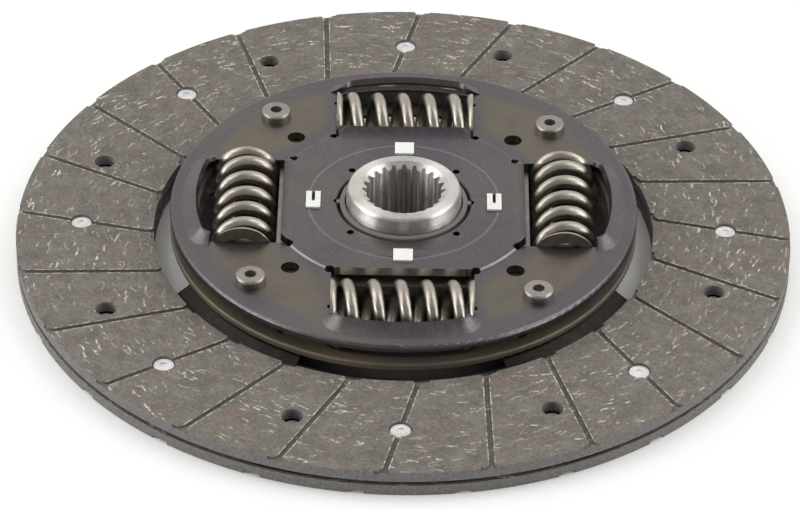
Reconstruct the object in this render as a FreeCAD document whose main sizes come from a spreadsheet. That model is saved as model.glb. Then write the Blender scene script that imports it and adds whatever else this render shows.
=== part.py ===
import FreeCAD, Part
import math
import os

import Sketcher
from FreeCAD import Rotation, Vector

# Driving dimensions, millimetres and degrees
SIZES = {
    # Friction facings
    "facing_clearance": 5.2,
    "facing_width": 42.5,
    "facing_thickness": 3.5,
    "facing_gap": 1.4,
    "groove_count": 24,
    "groove_width": 1.6,
    "groove_depth": 0.9,
    "groove_tilt": 13.0,
    "pad_corner_radius": 2.4,
    # Facing rivets
    "rivet_circle_offset": 1.25,
    "rivet_count": 8,
    "rivet_pair_angle": 18.55,
    "rivet_head_radius": 3.3,
    "rivet_head_height": 1.0,
    "rivet_web": 1.8,
    "rivet_shank_radius": 2.0,
    "rivet_tail_radius": 2.75,
    "rivet_tail_height": 0.6,
    "rivet_dimple_radius": 1.3,
    "counterbore_clearance": 0.2,
    "access_hole_radius": 3.25,
    "shank_clearance": 0.05,
    # Cushion disc
    "sheet_thickness": 0.7,
    "sheet_rim_margin": 1.0,
    "flap_root_margin": 4.5,
    "flap_slot_width": 3.6,
    "crest_width": 11.0,
    "cushion_ring_margin": 0.1,
    "arm_centre_angle": 45.0,
    "arm_half_angle": 20.0,
    "arm_inner_margin": 0.6,
    "arm_bend_inset": 1.3,
    "arm_foot_inset": 0.9,
    # Damper plates
    "damper_mid_height": 12.45,
    "plate_thickness": 2.6,
    "plate_gap": 4.3,
    "plate_edge_radius": 1.1,
    "plate_rim_width": 3.7,
    "centre_step_margin": 3.8,
    "centre_rise": 0.5,
    "centre_dip": 0.1,
    "bore_gap": 0.9,
    "dish_clearance": 0.6,
    "dish_depth": 3.0,
    "dish_slope": 2.6,
    "tool_hole_radius": 2.8,
    "tool_hole_inset": 7.04,
    "vent_hole_radius": 1.1,
    "vent_inset": 2.4,
    # Spring windows and their lips
    "window_count": 4,
    "window_inset": 4.5,
    "window_inner_clearance": 1.9,
    "window_outer_clearance": 4.3,
    "window_end_clearance": 0.1,
    "relief_radius": 1.4,
    "relief_inset": 2.6,
    "relief_past": 0.5,
    "notch_radius": 0.9,
    "notch_offset": 4.0,
    "outer_lip_run": 5.1,
    "outer_lip_rise": 3.9,
    "outer_lip_lean": 0.8,
    "outer_lip_height": 3.0,
    "lip_corner_inset": 5.2,
    "lip_corner_offset": 2.5,
    "lip_corner_angle": 68.0,
    "lip_fade_length": 7.2,
    "lip_fade_past": 3.0,
    "lip_fade_bow": 0.9,
    "inner_lip_run": 3.1,
    "inner_lip_rise": 2.2,
    "inner_lip_lean": 0.3,
    "inner_lip_height": 2.1,
    "inner_lip_inset": 0.6,
    "inner_lip_taper": 0.7,
    "lip_root": 0.6,
    # Damper springs
    "spring_length": 43.2,
    "spring_radius": 9.9,
    "spring_wire": 3.9,
    "spring_turns": 6.5,
    # Hub flange
    "flange_thickness": 3.4,
    "flange_rim_width": 2.5,
    "flange_window_margin": 0.5,
    "flange_corner_radius": 0.8,
    "stop_notch_margin": 0.7,
    "drive_angle": 12.0,
    "coast_angle": 6.0,
    "stop_margin_angle": 0.25,
    # Stop pins
    "pin_inset": 4.5,
    "pin_angle": 41.7,
    "pin_spacer_radius": 4.0,
    "pin_tenon_radius": 3.3,
    "pin_head_radius": 4.6,
    "pin_head_height": 2.5,
    "pin_tail_radius": 4.4,
    "pin_tail_height": 2.1,
    "pin_edge_radius": 0.9,
    "pin_dimple_radius": 1.8,
    "pin_dimple_depth": 2.2,
    # Rivets between the cushion arms and the carrier plate
    "arm_rivet_inset": 6.3,
    "arm_rivet_angle": 13.0,
    "arm_rivet_shank_radius": 2.5,
    "arm_rivet_head_radius": 4.0,
    "arm_rivet_head_height": 1.6,
    # Hub
    "hub_radius": 17.8,
    "hub_bottom": 0.4,
    "hub_top": 23.2,
    "hub_bevel_radius": 16.3,
    "hub_bevel_height": 1.2,
    "hub_taper": 0.4,
    "hub_taper_height": 3.6,
    "spline_teeth": 24,
    "spline_major_radius": 12.8,
    "spline_minor_radius": 11.6,
    "spline_space_outer": 1.0,
    "spline_space_inner": 2.15,
    "spline_entry_radius": 13.9,
    "spline_entry_depth": 1.5,
    # Idle stage between hub and hub flange
    "collar_step": 2.2,
    "collar_tooth": 2.5,
    "collar_clearance": 0.3,
    "collar_space_angle": 18.0,
    "idle_angle": 4.0,
    "idle_margin_angle": 0.4,
    "idle_spring_length": 9.8,
    "idle_spring_radius": 1.6,
    "idle_spring_wire": 0.7,
    "idle_spring_turns": 6.5,
    "idle_pocket_clearance": 0.25,
    # Bushes and friction device
    "running_clearance": 0.1,
    "ring_play": 0.05,
    "bush_sleeve_wall": 1.8,
    "bush_mouth_clearance": 0.5,
    "bush_top": 18.0,
    "bush_flange_margin": 1.4,
    "bush_lug_width": 1.8,
    "bush_lug_reach": 1.2,
    "flywheel_flange_margin": 2.9,
    "flywheel_bush_flange_height": 0.9,
    "tab_ring_clearance": 2.9,
    "tab_ring_width": 8.1,
    "tab_inset": 3.1,
    "tab_top": 18.2,
    "plain_tab_width": 6.0,
    "plain_tab_depth": 5.8,
    "hook_tab_width": 8.3,
    "hook_tab_depth": 4.5,
    "hook_slot_width": 1.0,
    "hook_slot_length": 5.0,
    "tab_clearance": 0.15,
    "friction_clearance": 0.7,
    "friction_width": 5.2,
    "friction_ring_height": 1.15,
    "support_ring_height": 1.0,
    "diaphragm_thickness": 0.6,
}

XY, XZ, YZ = "XY_Plane", "XZ_Plane", "YZ_Plane"
Z_AXIS = Vector(0, 0, 1)
ORIGIN = Vector(0, 0, 0)

doc = FreeCAD.newDocument("ClutchDisc")
sheet = doc.addObject("Spreadsheet::Sheet", "Sizes")
for row, (alias, number) in enumerate(SIZES.items(), start=1):
    sheet.set("A%d" % row, alias)
    sheet.set("B%d" % row, str(number))
    sheet.setAlias("B%d" % row, alias)
doc.recompute()


def size(alias):
    """One driving dimension, read from the sheet."""
    return float(getattr(sheet, alias))


# Heights that several pieces share
stack_height = 2 * size("facing_thickness") + size("facing_gap")
sheet_mid = size("facing_thickness") + size("facing_gap") / 2
mid = size("damper_mid_height")
gap_half = size("plate_gap") / 2
plate_half = gap_half + size("plate_thickness")
flange_half = size("flange_thickness") / 2
flange_top = mid + flange_half
flange_bottom = mid - flange_half
carrier_under = mid - plate_half

# Radii, each from the piece inside it and a named clearance or width
collar_root = size("hub_radius") + size("collar_step")
collar_outer = collar_root + size("collar_tooth")
bush_sleeve = size("hub_radius") + size("running_clearance") + size("bush_sleeve_wall")
plate_bore = bush_sleeve + size("bore_gap")
bush_flange = plate_bore + size("bush_flange_margin")
flywheel_flange = plate_bore + size("flywheel_flange_margin")
vent_circle = plate_bore + size("vent_inset")
tab_ring_inner = bush_flange + size("tab_ring_clearance")
tab_ring_outer = tab_ring_inner + size("tab_ring_width")
tab_circle = tab_ring_inner + size("tab_inset")
friction_inner = flywheel_flange + size("friction_clearance")
friction_outer = friction_inner + size("friction_width")
dish_flat = friction_outer + size("dish_clearance")
window_inner = tab_ring_outer + size("window_inset")
window_cut_inner = window_inner - size("inner_lip_run")
centre_step = window_inner + size("centre_step_margin")
tool_hole_circle = centre_step + size("tool_hole_inset")
spring_circle = window_inner + size("window_inner_clearance") + size("spring_radius")
notch_centre = spring_circle + size("notch_offset")
window_outer = spring_circle + size("spring_radius") + size("window_outer_clearance")
window_cut_outer = window_outer + size("outer_lip_run")
flange_outer = window_outer + size("flange_rim_width")
pin_circle = flange_outer - size("pin_inset")
stop_notch = pin_circle - size("pin_spacer_radius") - size("stop_notch_margin")
plate_outer = window_cut_outer + size("plate_rim_width")
arm_rivet_circle = plate_outer - size("arm_rivet_inset")
arm_inner = pin_circle - size("pin_tail_radius") - size("arm_inner_margin")
arm_bend = plate_outer - size("arm_bend_inset")
facing_inner = plate_outer + size("facing_clearance")
facing_outer = facing_inner + size("facing_width")
rivet_circle = facing_inner + size("facing_width") / 2 + size("rivet_circle_offset")
flap_root = facing_inner + size("flap_root_margin")
arm_foot = facing_inner - size("arm_foot_inset")

# Lengths and angles that several pieces share
window_half = size("spring_length") / 2 + size("window_end_clearance")
quarter = 360.0 / size("window_count")
rivet_pitch = 360.0 / size("rivet_count")
pocket_reach = size("idle_spring_radius") + size("idle_pocket_clearance")
pocket_half = size("idle_spring_length") / 2 + size("window_end_clearance")
nodes = []


def at(radius, angle, height=0.0):
    """A point at a radius, an angle in degrees and a height."""
    turn = math.radians(angle)
    return Vector(radius * math.cos(turn), radius * math.sin(turn), height)


def turned(shape, angle):
    """A copy of a shape turned about the disc's axis."""
    copy = shape.copy()
    copy.rotate(ORIGIN, Z_AXIS, angle)
    return copy


def new_body(label):
    """A PartDesign body that becomes a node of its own."""
    body = doc.addObject("PartDesign::Body", label)
    body.Label = label
    nodes.append(body)
    return body


def new_sketch(body, role, name, height=0.0):
    """A sketch on one of the body's own planes, lifted by a height."""
    sketch = body.newObject("Sketcher::SketchObject", name)
    plane = [f for f in body.Origin.OriginFeatures if f.Role == role][0]
    sketch.AttachmentSupport = [(plane, "")]
    sketch.MapMode = "FlatFace"
    sketch.AttachmentOffset = FreeCAD.Placement(Vector(0, 0, height), Rotation())
    return sketch


def add_circle(sketch, centre, radius, alias=None):
    """A circle, its radius tied to the sheet where an alias is given."""
    index = sketch.addGeometry(Part.Circle(centre, Z_AXIS, radius), False)
    if alias:
        number = sketch.addConstraint(Sketcher.Constraint("Radius", index, radius))
        sketch.setExpression("Constraints[%d]" % number, "Sizes." + alias)


def add_outline(sketch, steps):
    """A closed outline. A step of two numbers is a line's end, one of four
    is an arc's middle and end. The first step is the start."""
    start = Vector(*steps[0][:2], 0)
    here = start
    for step in list(steps[1:]) + [(start.x, start.y)]:
        end = Vector(step[-2], step[-1], 0)
        if (end - here).Length < 1e-7:
            continue
        if len(step) == 4:
            edge = Part.Arc(here, Vector(step[0], step[1], 0), end)
        else:
            edge = Part.LineSegment(here, end)
        sketch.addGeometry(edge, False)
        here = end


def revolve(body, sketch, name, angle=360.0, middle=False):
    """Turn a profile about the disc's axis."""
    feature = body.newObject("PartDesign::Revolution", name)
    feature.Profile = sketch
    feature.ReferenceAxis = (sketch, ["V_Axis"])
    feature.Angle = angle
    feature.Midplane = middle
    return feature


def pad(body, sketch, name, length, alias=None, middle=False):
    """Raise an outline, its length tied to the sheet where an alias is given."""
    feature = body.newObject("PartDesign::Pad", name)
    feature.Profile = sketch
    feature.Length = length
    feature.Midplane = middle
    if alias:
        feature.setExpression("Length", "Sizes." + alias)
    return feature


def pocket(body, sketch, name, length, downwards=True):
    """Cut an outline, down from the sketch or up from it."""
    feature = body.newObject("PartDesign::Pocket", name)
    feature.Profile = sketch
    feature.Length = length
    feature.Reversed = not downwards
    return feature


def pattern(body, features, name, count, alias=None):
    """Repeat features round the disc's axis."""
    feature = body.newObject("PartDesign::PolarPattern", name)
    feature.Originals = features
    axis = [f for f in body.Origin.OriginFeatures if f.Role == "Z_Axis"][0]
    feature.Axis = (axis, [""])
    feature.Angle = 360.0
    feature.Occurrences = int(count)
    if alias:
        feature.setExpression("Occurrences", "Sizes." + alias)
    body.Tip = feature
    return feature


def rectangle(x0, x1, y0, y1):
    """Corners of a rectangle as an outline."""
    return [(x0, y0), (x1, y0), (x1, y1), (x0, y1)]


def turned_piece(label, profile):
    """A body that is one profile turned about the disc's axis."""
    body = new_body(label)
    sketch = new_sketch(body, XZ, label + "_profile")
    add_outline(sketch, profile)
    revolve(body, sketch, label + "_turn")
    return body


def solid_node(label, shape):
    """A node whose shape is set directly."""
    feature = doc.addObject("Part::Feature", label)
    feature.Label = label
    feature.Shape = shape
    nodes.append(feature)
    return feature


# Friction facings

def groove_outline(phase):
    """One groove between the pads, wider at both rims, tilted from radial."""
    half = size("groove_width") / 2
    corner = size("pad_corner_radius")
    tilt = math.radians(size("groove_tilt"))
    centre = rivet_circle
    along = centre * math.cos(tilt)
    inner = -along + math.sqrt(along ** 2 - centre ** 2 + facing_inner ** 2)
    outer = -along + math.sqrt(along ** 2 - centre ** 2 + facing_outer ** 2)
    wide = half + corner
    bow = corner * (1 - math.sqrt(0.5))
    past = 2 * corner
    half_path = [
        (inner - past, wide), (inner, wide),
        (inner + bow, half + bow, inner + corner, half),
        (outer - corner, half),
        (outer - bow, half + bow, outer, wide),
        (outer + past, wide),
    ]
    ends = [step[-2:] for step in half_path]
    back = [(ends[-1][0], -ends[-1][1])]
    for number in range(len(half_path) - 1, 0, -1):
        target = (ends[number - 1][0], -ends[number - 1][1])
        step = half_path[number]
        back.append((step[0], -step[1]) + target if len(step) == 4 else target)
    turn = math.radians(phase)

    def place(pair):
        x = centre + pair[0] * math.cos(tilt) + pair[1] * math.sin(tilt)
        y = -pair[0] * math.sin(tilt) + pair[1] * math.cos(tilt)
        return (x * math.cos(turn) - y * math.sin(turn), x * math.sin(turn) + y * math.cos(turn))

    result = []
    for step in half_path + back:
        points = [place(step[i:i + 2]) for i in range(0, len(step), 2)]
        result.append(tuple(value for point in points for value in point))
    return result


def facing(label, bottom, phase, faces_up):
    """A friction ring with grooves, rivet counterbores and access holes."""
    thickness = size("facing_thickness")
    face = bottom + thickness if faces_up else bottom
    body = new_body(label)
    ring = new_sketch(body, XY, label + "_ring", bottom)
    add_circle(ring, ORIGIN, facing_outer)
    add_circle(ring, ORIGIN, facing_inner)
    pad(body, ring, label + "_pad", thickness, "facing_thickness")

    groove = new_sketch(body, XY, label + "_groove", face)
    add_outline(groove, groove_outline(phase))
    cut = pocket(body, groove, label + "_groove_cut", size("groove_depth"), faces_up)
    cut.setExpression("Length", "Sizes.groove_depth")
    pattern(body, [cut], label + "_grooves", size("groove_count"), "groove_count")

    other = -size("rivet_pair_angle") if faces_up else size("rivet_pair_angle")
    seat = at(rivet_circle, phase)
    access = at(rivet_circle, phase + other)
    bore = new_sketch(body, XY, label + "_counterbore", face)
    add_circle(bore, seat, size("rivet_head_radius") + size("counterbore_clearance"))
    bore_cut = pocket(body, bore, label + "_counterbore_cut", thickness - size("rivet_web"), faces_up)
    holes = new_sketch(body, XY, label + "_holes", face)
    add_circle(holes, seat, size("rivet_shank_radius") + size("shank_clearance"))
    add_circle(holes, access, size("access_hole_radius"))
    holes_cut = pocket(body, holes, label + "_holes_cut", 2 * thickness, faces_up)
    pattern(body, [bore_cut, holes_cut], label + "_rivet_places", size("rivet_count"), "rivet_count")
    return body


def facing_rivet_profile(faces_up):
    """Half section of a facing rivet: head on the facing's web, tail on the sheet."""
    head = size("rivet_head_radius")
    shank = size("rivet_shank_radius")
    tail = size("rivet_tail_radius")
    dimple = size("rivet_dimple_radius")
    seat = size("facing_thickness") + size("facing_gap") + size("rivet_web")
    top = seat + size("rivet_head_height")
    under = sheet_mid
    low = under - size("rivet_tail_height")
    edge = 0.3 * size("rivet_head_height")
    points = [
        (0, low), (0, top - edge), (dimple, top - edge), (dimple, top), (head - edge, top),
        (head, top - edge), (head, seat), (shank, seat), (shank, under),
        (tail, under), (tail, under - 0.5 * size("rivet_tail_height")), (tail - edge, low),
    ]
    if faces_up:
        return points
    return [(x, stack_height - z) for x, z in points]


def facing_rivets(label, phase, faces_up):
    """The rivets of one facing, as a group of separate solids."""
    pairs = facing_rivet_profile(faces_up)
    corners = [Vector(x, 0, z) for x, z in pairs]
    face = Part.Face(Part.makePolygon(corners + corners[:1]))
    rivet = face.revolve(ORIGIN, Z_AXIS, 360)
    rivet.translate(at(rivet_circle, phase))
    copies = [turned(rivet, rivet_pitch * k) for k in range(int(size("rivet_count")))]
    return solid_node(label, Part.makeCompound(copies))


# Cushion disc

def sheet_band(points):
    """A band of the sheet: a line of lower points and the same line one sheet higher."""
    thickness = size("sheet_thickness")
    upper = [(x, z + thickness) for x, z in reversed(points)]
    return points + upper


def flap(centre_angle):
    """One waved flap: crest at one facing's rivet, trough at the other's."""
    spread = rivet_circle * math.sin(math.radians(size("rivet_pair_angle") / 2))
    crest = size("crest_width") / 2
    low = size("facing_thickness")
    rise = size("facing_gap") - size("sheet_thickness")
    reach = facing_outer
    wave = [
        (-reach, low + rise / 2), (-spread - 3 * crest, low + rise / 2), (-spread - crest, low),
        (-spread + crest, low), (spread - crest, low + rise), (spread + crest, low + rise),
        (spread + 3 * crest, low + rise / 2), (reach, low + rise / 2),
    ]
    corners = [Vector(0, y, z) for y, z in sheet_band(wave)]
    rim = facing_outer - size("sheet_rim_margin")
    root = flap_root - 1.0
    wave_solid = Part.Face(Part.makePolygon(corners + corners[:1])).extrude(Vector(rim, 0, 0))
    half = rivet_pitch / 2
    margin = size("flap_slot_width") / 2
    sector = Part.makeCylinder(rim, stack_height, ORIGIN, Z_AXIS, 2 * half)
    sector.rotate(ORIGIN, Z_AXIS, -half)
    sector = sector.cut(Part.makeCylinder(root, stack_height))
    for side in (-1, 1):
        slot = Part.makeBox(rim, 2 * margin, stack_height, Vector(flap_root, -margin, 0))
        slot.rotate(ORIGIN, Z_AXIS, side * half)
        sector = sector.cut(slot)
    result = wave_solid.common(sector)
    for side, angle in ((1, size("rivet_pair_angle") / 2), (-1, -size("rivet_pair_angle") / 2)):
        radius = size("rivet_shank_radius") + size("shank_clearance")
        hole = Part.makeCylinder(radius, stack_height, at(rivet_circle, angle))
        result = result.cut(hole)
    return turned(result, centre_angle)


def cushion_arm():
    """One arm: flat under the carrier plate, then joggled down to the sheet's ring."""
    thickness = size("sheet_thickness")
    low = sheet_mid - thickness / 2
    high = carrier_under - thickness
    ring = facing_inner + size("cushion_ring_margin")
    profile = sheet_band([
        (arm_inner, high), (arm_bend, high),
        (arm_foot, low), (ring + 1.0, low),
    ])
    corners = [Vector(x, 0, z) for x, z in profile]
    face = Part.Face(Part.makePolygon(corners + corners[:1]))
    arm = face.revolve(ORIGIN, Z_AXIS, 2 * size("arm_half_angle"))
    arm.rotate(ORIGIN, Z_AXIS, size("arm_centre_angle") - size("arm_half_angle"))
    for radius, angle, hole_radius in arm_holes():
        hole = Part.makeCylinder(hole_radius, stack_height, at(radius, angle))
        arm = arm.cut(hole)
    return arm


def arm_holes():
    """Places and radii of the holes that an arm and the carrier plate share."""
    rivet = size("arm_rivet_shank_radius") + size("shank_clearance")
    pin = size("pin_tenon_radius") + size("shank_clearance")
    centre = size("arm_centre_angle")
    spread = size("arm_rivet_angle")
    return [
        (pin_circle, size("pin_angle"), pin),
        (arm_rivet_circle, centre - spread, rivet),
        (arm_rivet_circle, centre + spread, rivet),
    ]


def cushion_disc():
    """The waved spring-steel sheet between the facings, with its four arms."""
    low = sheet_mid - size("sheet_thickness") / 2
    ring_radius = facing_inner + size("cushion_ring_margin")
    ring = Part.makeCylinder(flap_root, size("sheet_thickness"), Vector(0, 0, low))
    ring = ring.cut(Part.makeCylinder(ring_radius, stack_height))
    first = -size("rivet_pair_angle") / 2
    pieces = [flap(first + rivet_pitch * k) for k in range(int(size("rivet_count")))]
    arm = cushion_arm()
    pieces += [turned(arm, quarter * k) for k in range(int(size("window_count")))]
    return solid_node("cushion_disc", ring.fuse(pieces).removeSplitter())


# Damper plates

def lip_corner():
    """Where the outer lip starts to turn round the window's corner."""
    radius = window_outer - size("lip_corner_offset")
    reach = math.degrees(math.asin((window_half - size("lip_corner_inset")) / radius))
    return at(radius, reach), reach


def window_outline():
    """A spring window in plan, cut back under its lips."""
    half = window_half
    corner, reach = lip_corner()
    length = window_cut_outer - corner.Length
    last = reach + size("lip_corner_angle")
    side = corner + at(length, last)
    bend = corner + at(length, (reach + last) / 2)
    far = at(window_cut_outer, reach)
    root = Vector(side.x + (corner.x - side.x) * (side.y - half) / (side.y - corner.y), half, 0)
    return [
        (window_cut_inner, -half), (root.x, -half), (side.x, -side.y), (bend.x, -bend.y, far.x, -far.y),
        (window_cut_outer, 0, far.x, far.y), (bend.x, bend.y, side.x, side.y), (root.x, half),
        (window_cut_inner, half),
    ]


def outer_lip_profile(sign):
    """Bent sheet of the outer lip: radius from the corner's centre and height."""
    face = mid + sign * plate_half
    under = mid + sign * gap_half
    corner, reach = lip_corner()
    base = window_cut_outer - corner.Length
    edge = size("lip_corner_offset")
    tip = edge + size("outer_lip_lean")
    low = under + sign * size("outer_lip_rise")
    top = face + sign * size("outer_lip_height")
    root = size("lip_root")
    return [
        (base + root, (face + under) / 2), (base, under),
        ((base + edge) / 2, under + sign * 0.37 * size("outer_lip_rise"), edge, low), (tip, top),
        ((base + tip) / 2, face + sign * 0.38 * size("outer_lip_height"), base, face),
    ]


def lip_fade_outline(side, sign):
    """What is cut off the outer lip, seen from the rim, so that its ends sink into the plate."""
    face = mid + sign * plate_half
    crest = face + sign * (size("outer_lip_height") + 0.1)
    high = crest + sign * 1.0
    near = window_half - size("lip_fade_length")
    far = window_half + size("lip_fade_past")
    middle = (near + far) / 2
    bulge = (crest + face) / 2 + sign * size("lip_fade_bow")
    return [(side * near, high), (side * near, crest), (side * middle, bulge, side * far, face + sign * 0.1),
            (side * far, high)]


def inner_lip_profile(sign):
    """Bent sheet of the lip along the window's straight inner edge."""
    rise = size("centre_rise") if sign > 0 else 0.0
    face = mid + sign * (plate_half + rise)
    under = mid + sign * (gap_half + rise)
    base = window_cut_inner
    tip = window_inner - size("inner_lip_lean")
    low = under + sign * size("inner_lip_rise")
    top = face + sign * size("inner_lip_height")
    return [
        (base - size("lip_root"), (face + under) / 2), (base, under),
        ((base + window_inner) / 2, under + sign * 0.38 * size("inner_lip_rise"), window_inner, low),
        (tip, top), ((base + tip) / 2, face + sign * 0.4 * size("inner_lip_height"), base, face),
    ]


def add_windows(body, label, sign):
    """Cut the four windows and raise the bent lips that hold the springs in."""
    through = 2 * plate_half
    level = mid + sign * (plate_half + through / 2)
    window = new_sketch(body, XY, label + "_window", level)
    add_outline(window, window_outline())
    features = [pocket(body, window, label + "_window_cut", 2 * through, sign > 0)]
    corner, reach = lip_corner()
    section = outer_lip_profile(sign)
    outer = new_sketch(body, XZ, label + "_outer_lip")
    shift = corner.Length
    add_outline(outer, [tuple(v if i % 2 else v + shift for i, v in enumerate(step)) for step in section])
    features.append(revolve(body, outer, label + "_outer_lip_turn", 2 * reach, True))
    for side, name in ((1, "_left_corner"), (-1, "_right_corner")):
        bend = new_sketch(body, XZ, label + name)
        bend.AttachmentOffset = FreeCAD.Placement(Vector(corner.x, 0, -side * corner.y),
                                                  Rotation(Vector(0, 1, 0), side * reach))
        add_outline(bend, section)
        turn = revolve(body, bend, label + name + "_turn", size("lip_corner_angle"))
        turn.Reversed = side < 0
        features.append(turn)
    fade = new_sketch(body, YZ, label + "_lip_fade", plate_outer)
    for side in (-1, 1):
        add_outline(fade, lip_fade_outline(side, sign))
    features.append(pocket(body, fade, label + "_lip_fade_cut", plate_outer - spring_circle))
    inner = new_sketch(body, XZ, label + "_inner_lip")
    add_outline(inner, inner_lip_profile(sign))
    half = window_half - size("inner_lip_inset")
    features.append(pad(body, inner, label + "_inner_lip_pad", 2 * half, None, True))
    taper = new_sketch(body, XY, label + "_lip_taper", level)
    past = window_inner + size("lip_root")
    slope = size("inner_lip_taper") * (past - window_cut_inner) / size("inner_lip_run")
    relief = new_sketch(body, XY, label + "_relief", level)
    for side in (-1, 1):
        add_outline(taper, [(window_cut_inner, side * half), (past, side * (half - slope)),
                            (past, side * (half + 0.3)), (window_cut_inner, side * (half + 0.3))])
        place = Vector(window_inner - size("relief_inset"), side * (window_half + size("relief_past")), 0)
        add_circle(relief, place, size("relief_radius"), "relief_radius")
        edge = Vector(notch_centre, side * window_half, 0)
        add_circle(relief, edge, size("notch_radius"), "notch_radius")
    features.append(pocket(body, taper, label + "_lip_taper_cut", 2 * through, sign > 0))
    features.append(pocket(body, relief, label + "_relief_cut", 2 * through, sign > 0))
    pattern(body, features, label + "_windows", size("window_count"), "window_count")


def add_plate_holes(body, label, sign, holes):
    """Round holes through a damper plate, the same in each quarter."""
    through = 2 * plate_half
    sketch = new_sketch(body, XY, label + "_round_holes", mid + sign * (plate_half + through / 2))
    for radius, angle, hole_radius in holes:
        add_circle(sketch, at(radius, angle), hole_radius)
    cut = pocket(body, sketch, label + "_round_holes_cut", 2 * through, sign > 0)
    pattern(body, [cut], label + "_quarter_holes", size("window_count"), "window_count")


def retainer_plate():
    """The plate on the gearbox side, with a raised centre and tab slots."""
    label = "retainer_plate"
    outer = plate_outer
    top = mid + plate_half
    under = mid + gap_half
    rise = size("centre_rise")
    step = centre_step
    edge = size("plate_edge_radius")
    bow = edge * (1 - math.sqrt(0.5))
    bore = plate_bore
    ring = tab_circle + 1.4
    groove = vent_circle + 1.2
    dip = size("centre_dip")
    profile = [
        (bore, under + rise), (step - rise, under + rise), (step, under),
        (outer - 0.5, under), (outer, under + 0.5), (outer, top - edge),
        (outer - bow, top - bow, outer - edge, top),
        (step + rise, top), (step, top + rise), (ring, top + rise),
        (ring - 1.0, top + rise - 0.15), (groove + 1.2, top + rise - 0.5 * dip),
        (groove, top + rise - dip), (bore + 0.4, top + rise - dip), (bore, top + rise - dip - 0.4),
    ]
    body = turned_piece(label, profile)
    add_windows(body, label, 1)
    add_plate_holes(body, label, 1, [
        (tool_hole_circle, size("arm_centre_angle"), size("tool_hole_radius")),
        (vent_circle, size("arm_centre_angle"), size("vent_hole_radius")),
        (pin_circle, size("pin_angle"),
         size("pin_tenon_radius") + size("shank_clearance")),
    ])
    slots = new_sketch(body, XY, label + "_tab_slots", top + rise + 1.0)
    space = size("tab_clearance")
    centre = tab_circle
    notch = bore + size("bush_lug_reach")
    lug = size("bush_lug_width") / 2 + 2 * space
    for side in (-1, 1):
        hook_near = centre - size("hook_tab_depth") / 2 - space
        hook_far = centre + size("hook_tab_depth") / 2 + space
        hook_half = size("hook_tab_width") / 2 + space
        add_outline(slots, rectangle(side * hook_near, side * hook_far, -hook_half, hook_half))
        plain_near = centre - size("plain_tab_depth") / 2 - space
        plain_far = centre + size("plain_tab_depth") / 2 + space
        plain_half = size("plain_tab_width") / 2 + space
        add_outline(slots, rectangle(-plain_half, plain_half, side * plain_near, side * plain_far))
        add_outline(slots, [(side * (bore - 1.5), -lug), (side * (notch - lug), -lug),
                            (side * notch, 0, side * (notch - lug), lug), (side * (bore - 1.5), lug)])
    pocket(body, slots, label + "_tab_slots_cut", 3 * size("plate_thickness"), True)
    return body


def carrier_plate():
    """The plate on the flywheel side, dished to hold the friction device."""
    label = "carrier_plate"
    outer = plate_outer
    top = mid - gap_half
    under = carrier_under
    edge = size("plate_edge_radius")
    bow = edge * (1 - math.sqrt(0.5))
    bore = plate_bore
    flat = dish_flat
    depth = size("dish_depth")
    slope = size("dish_slope")
    skin = 0.5 * size("plate_thickness")
    profile = [
        (bore, under - depth), (flat + skin, under - depth), (flat + skin + slope, under),
        (outer - edge, under), (outer - bow, under + bow, outer, under + edge),
        (outer, top - 0.5), (outer - 0.5, top), (flat + slope, top),
        (flat, top - depth), (bore, top - depth),
    ]
    body = turned_piece(label, profile)
    add_windows(body, label, -1)
    tool_hole = (tool_hole_circle, size("arm_centre_angle"), size("tool_hole_radius"))
    add_plate_holes(body, label, -1, [tool_hole] + arm_holes())
    return body


# Main damper

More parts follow.
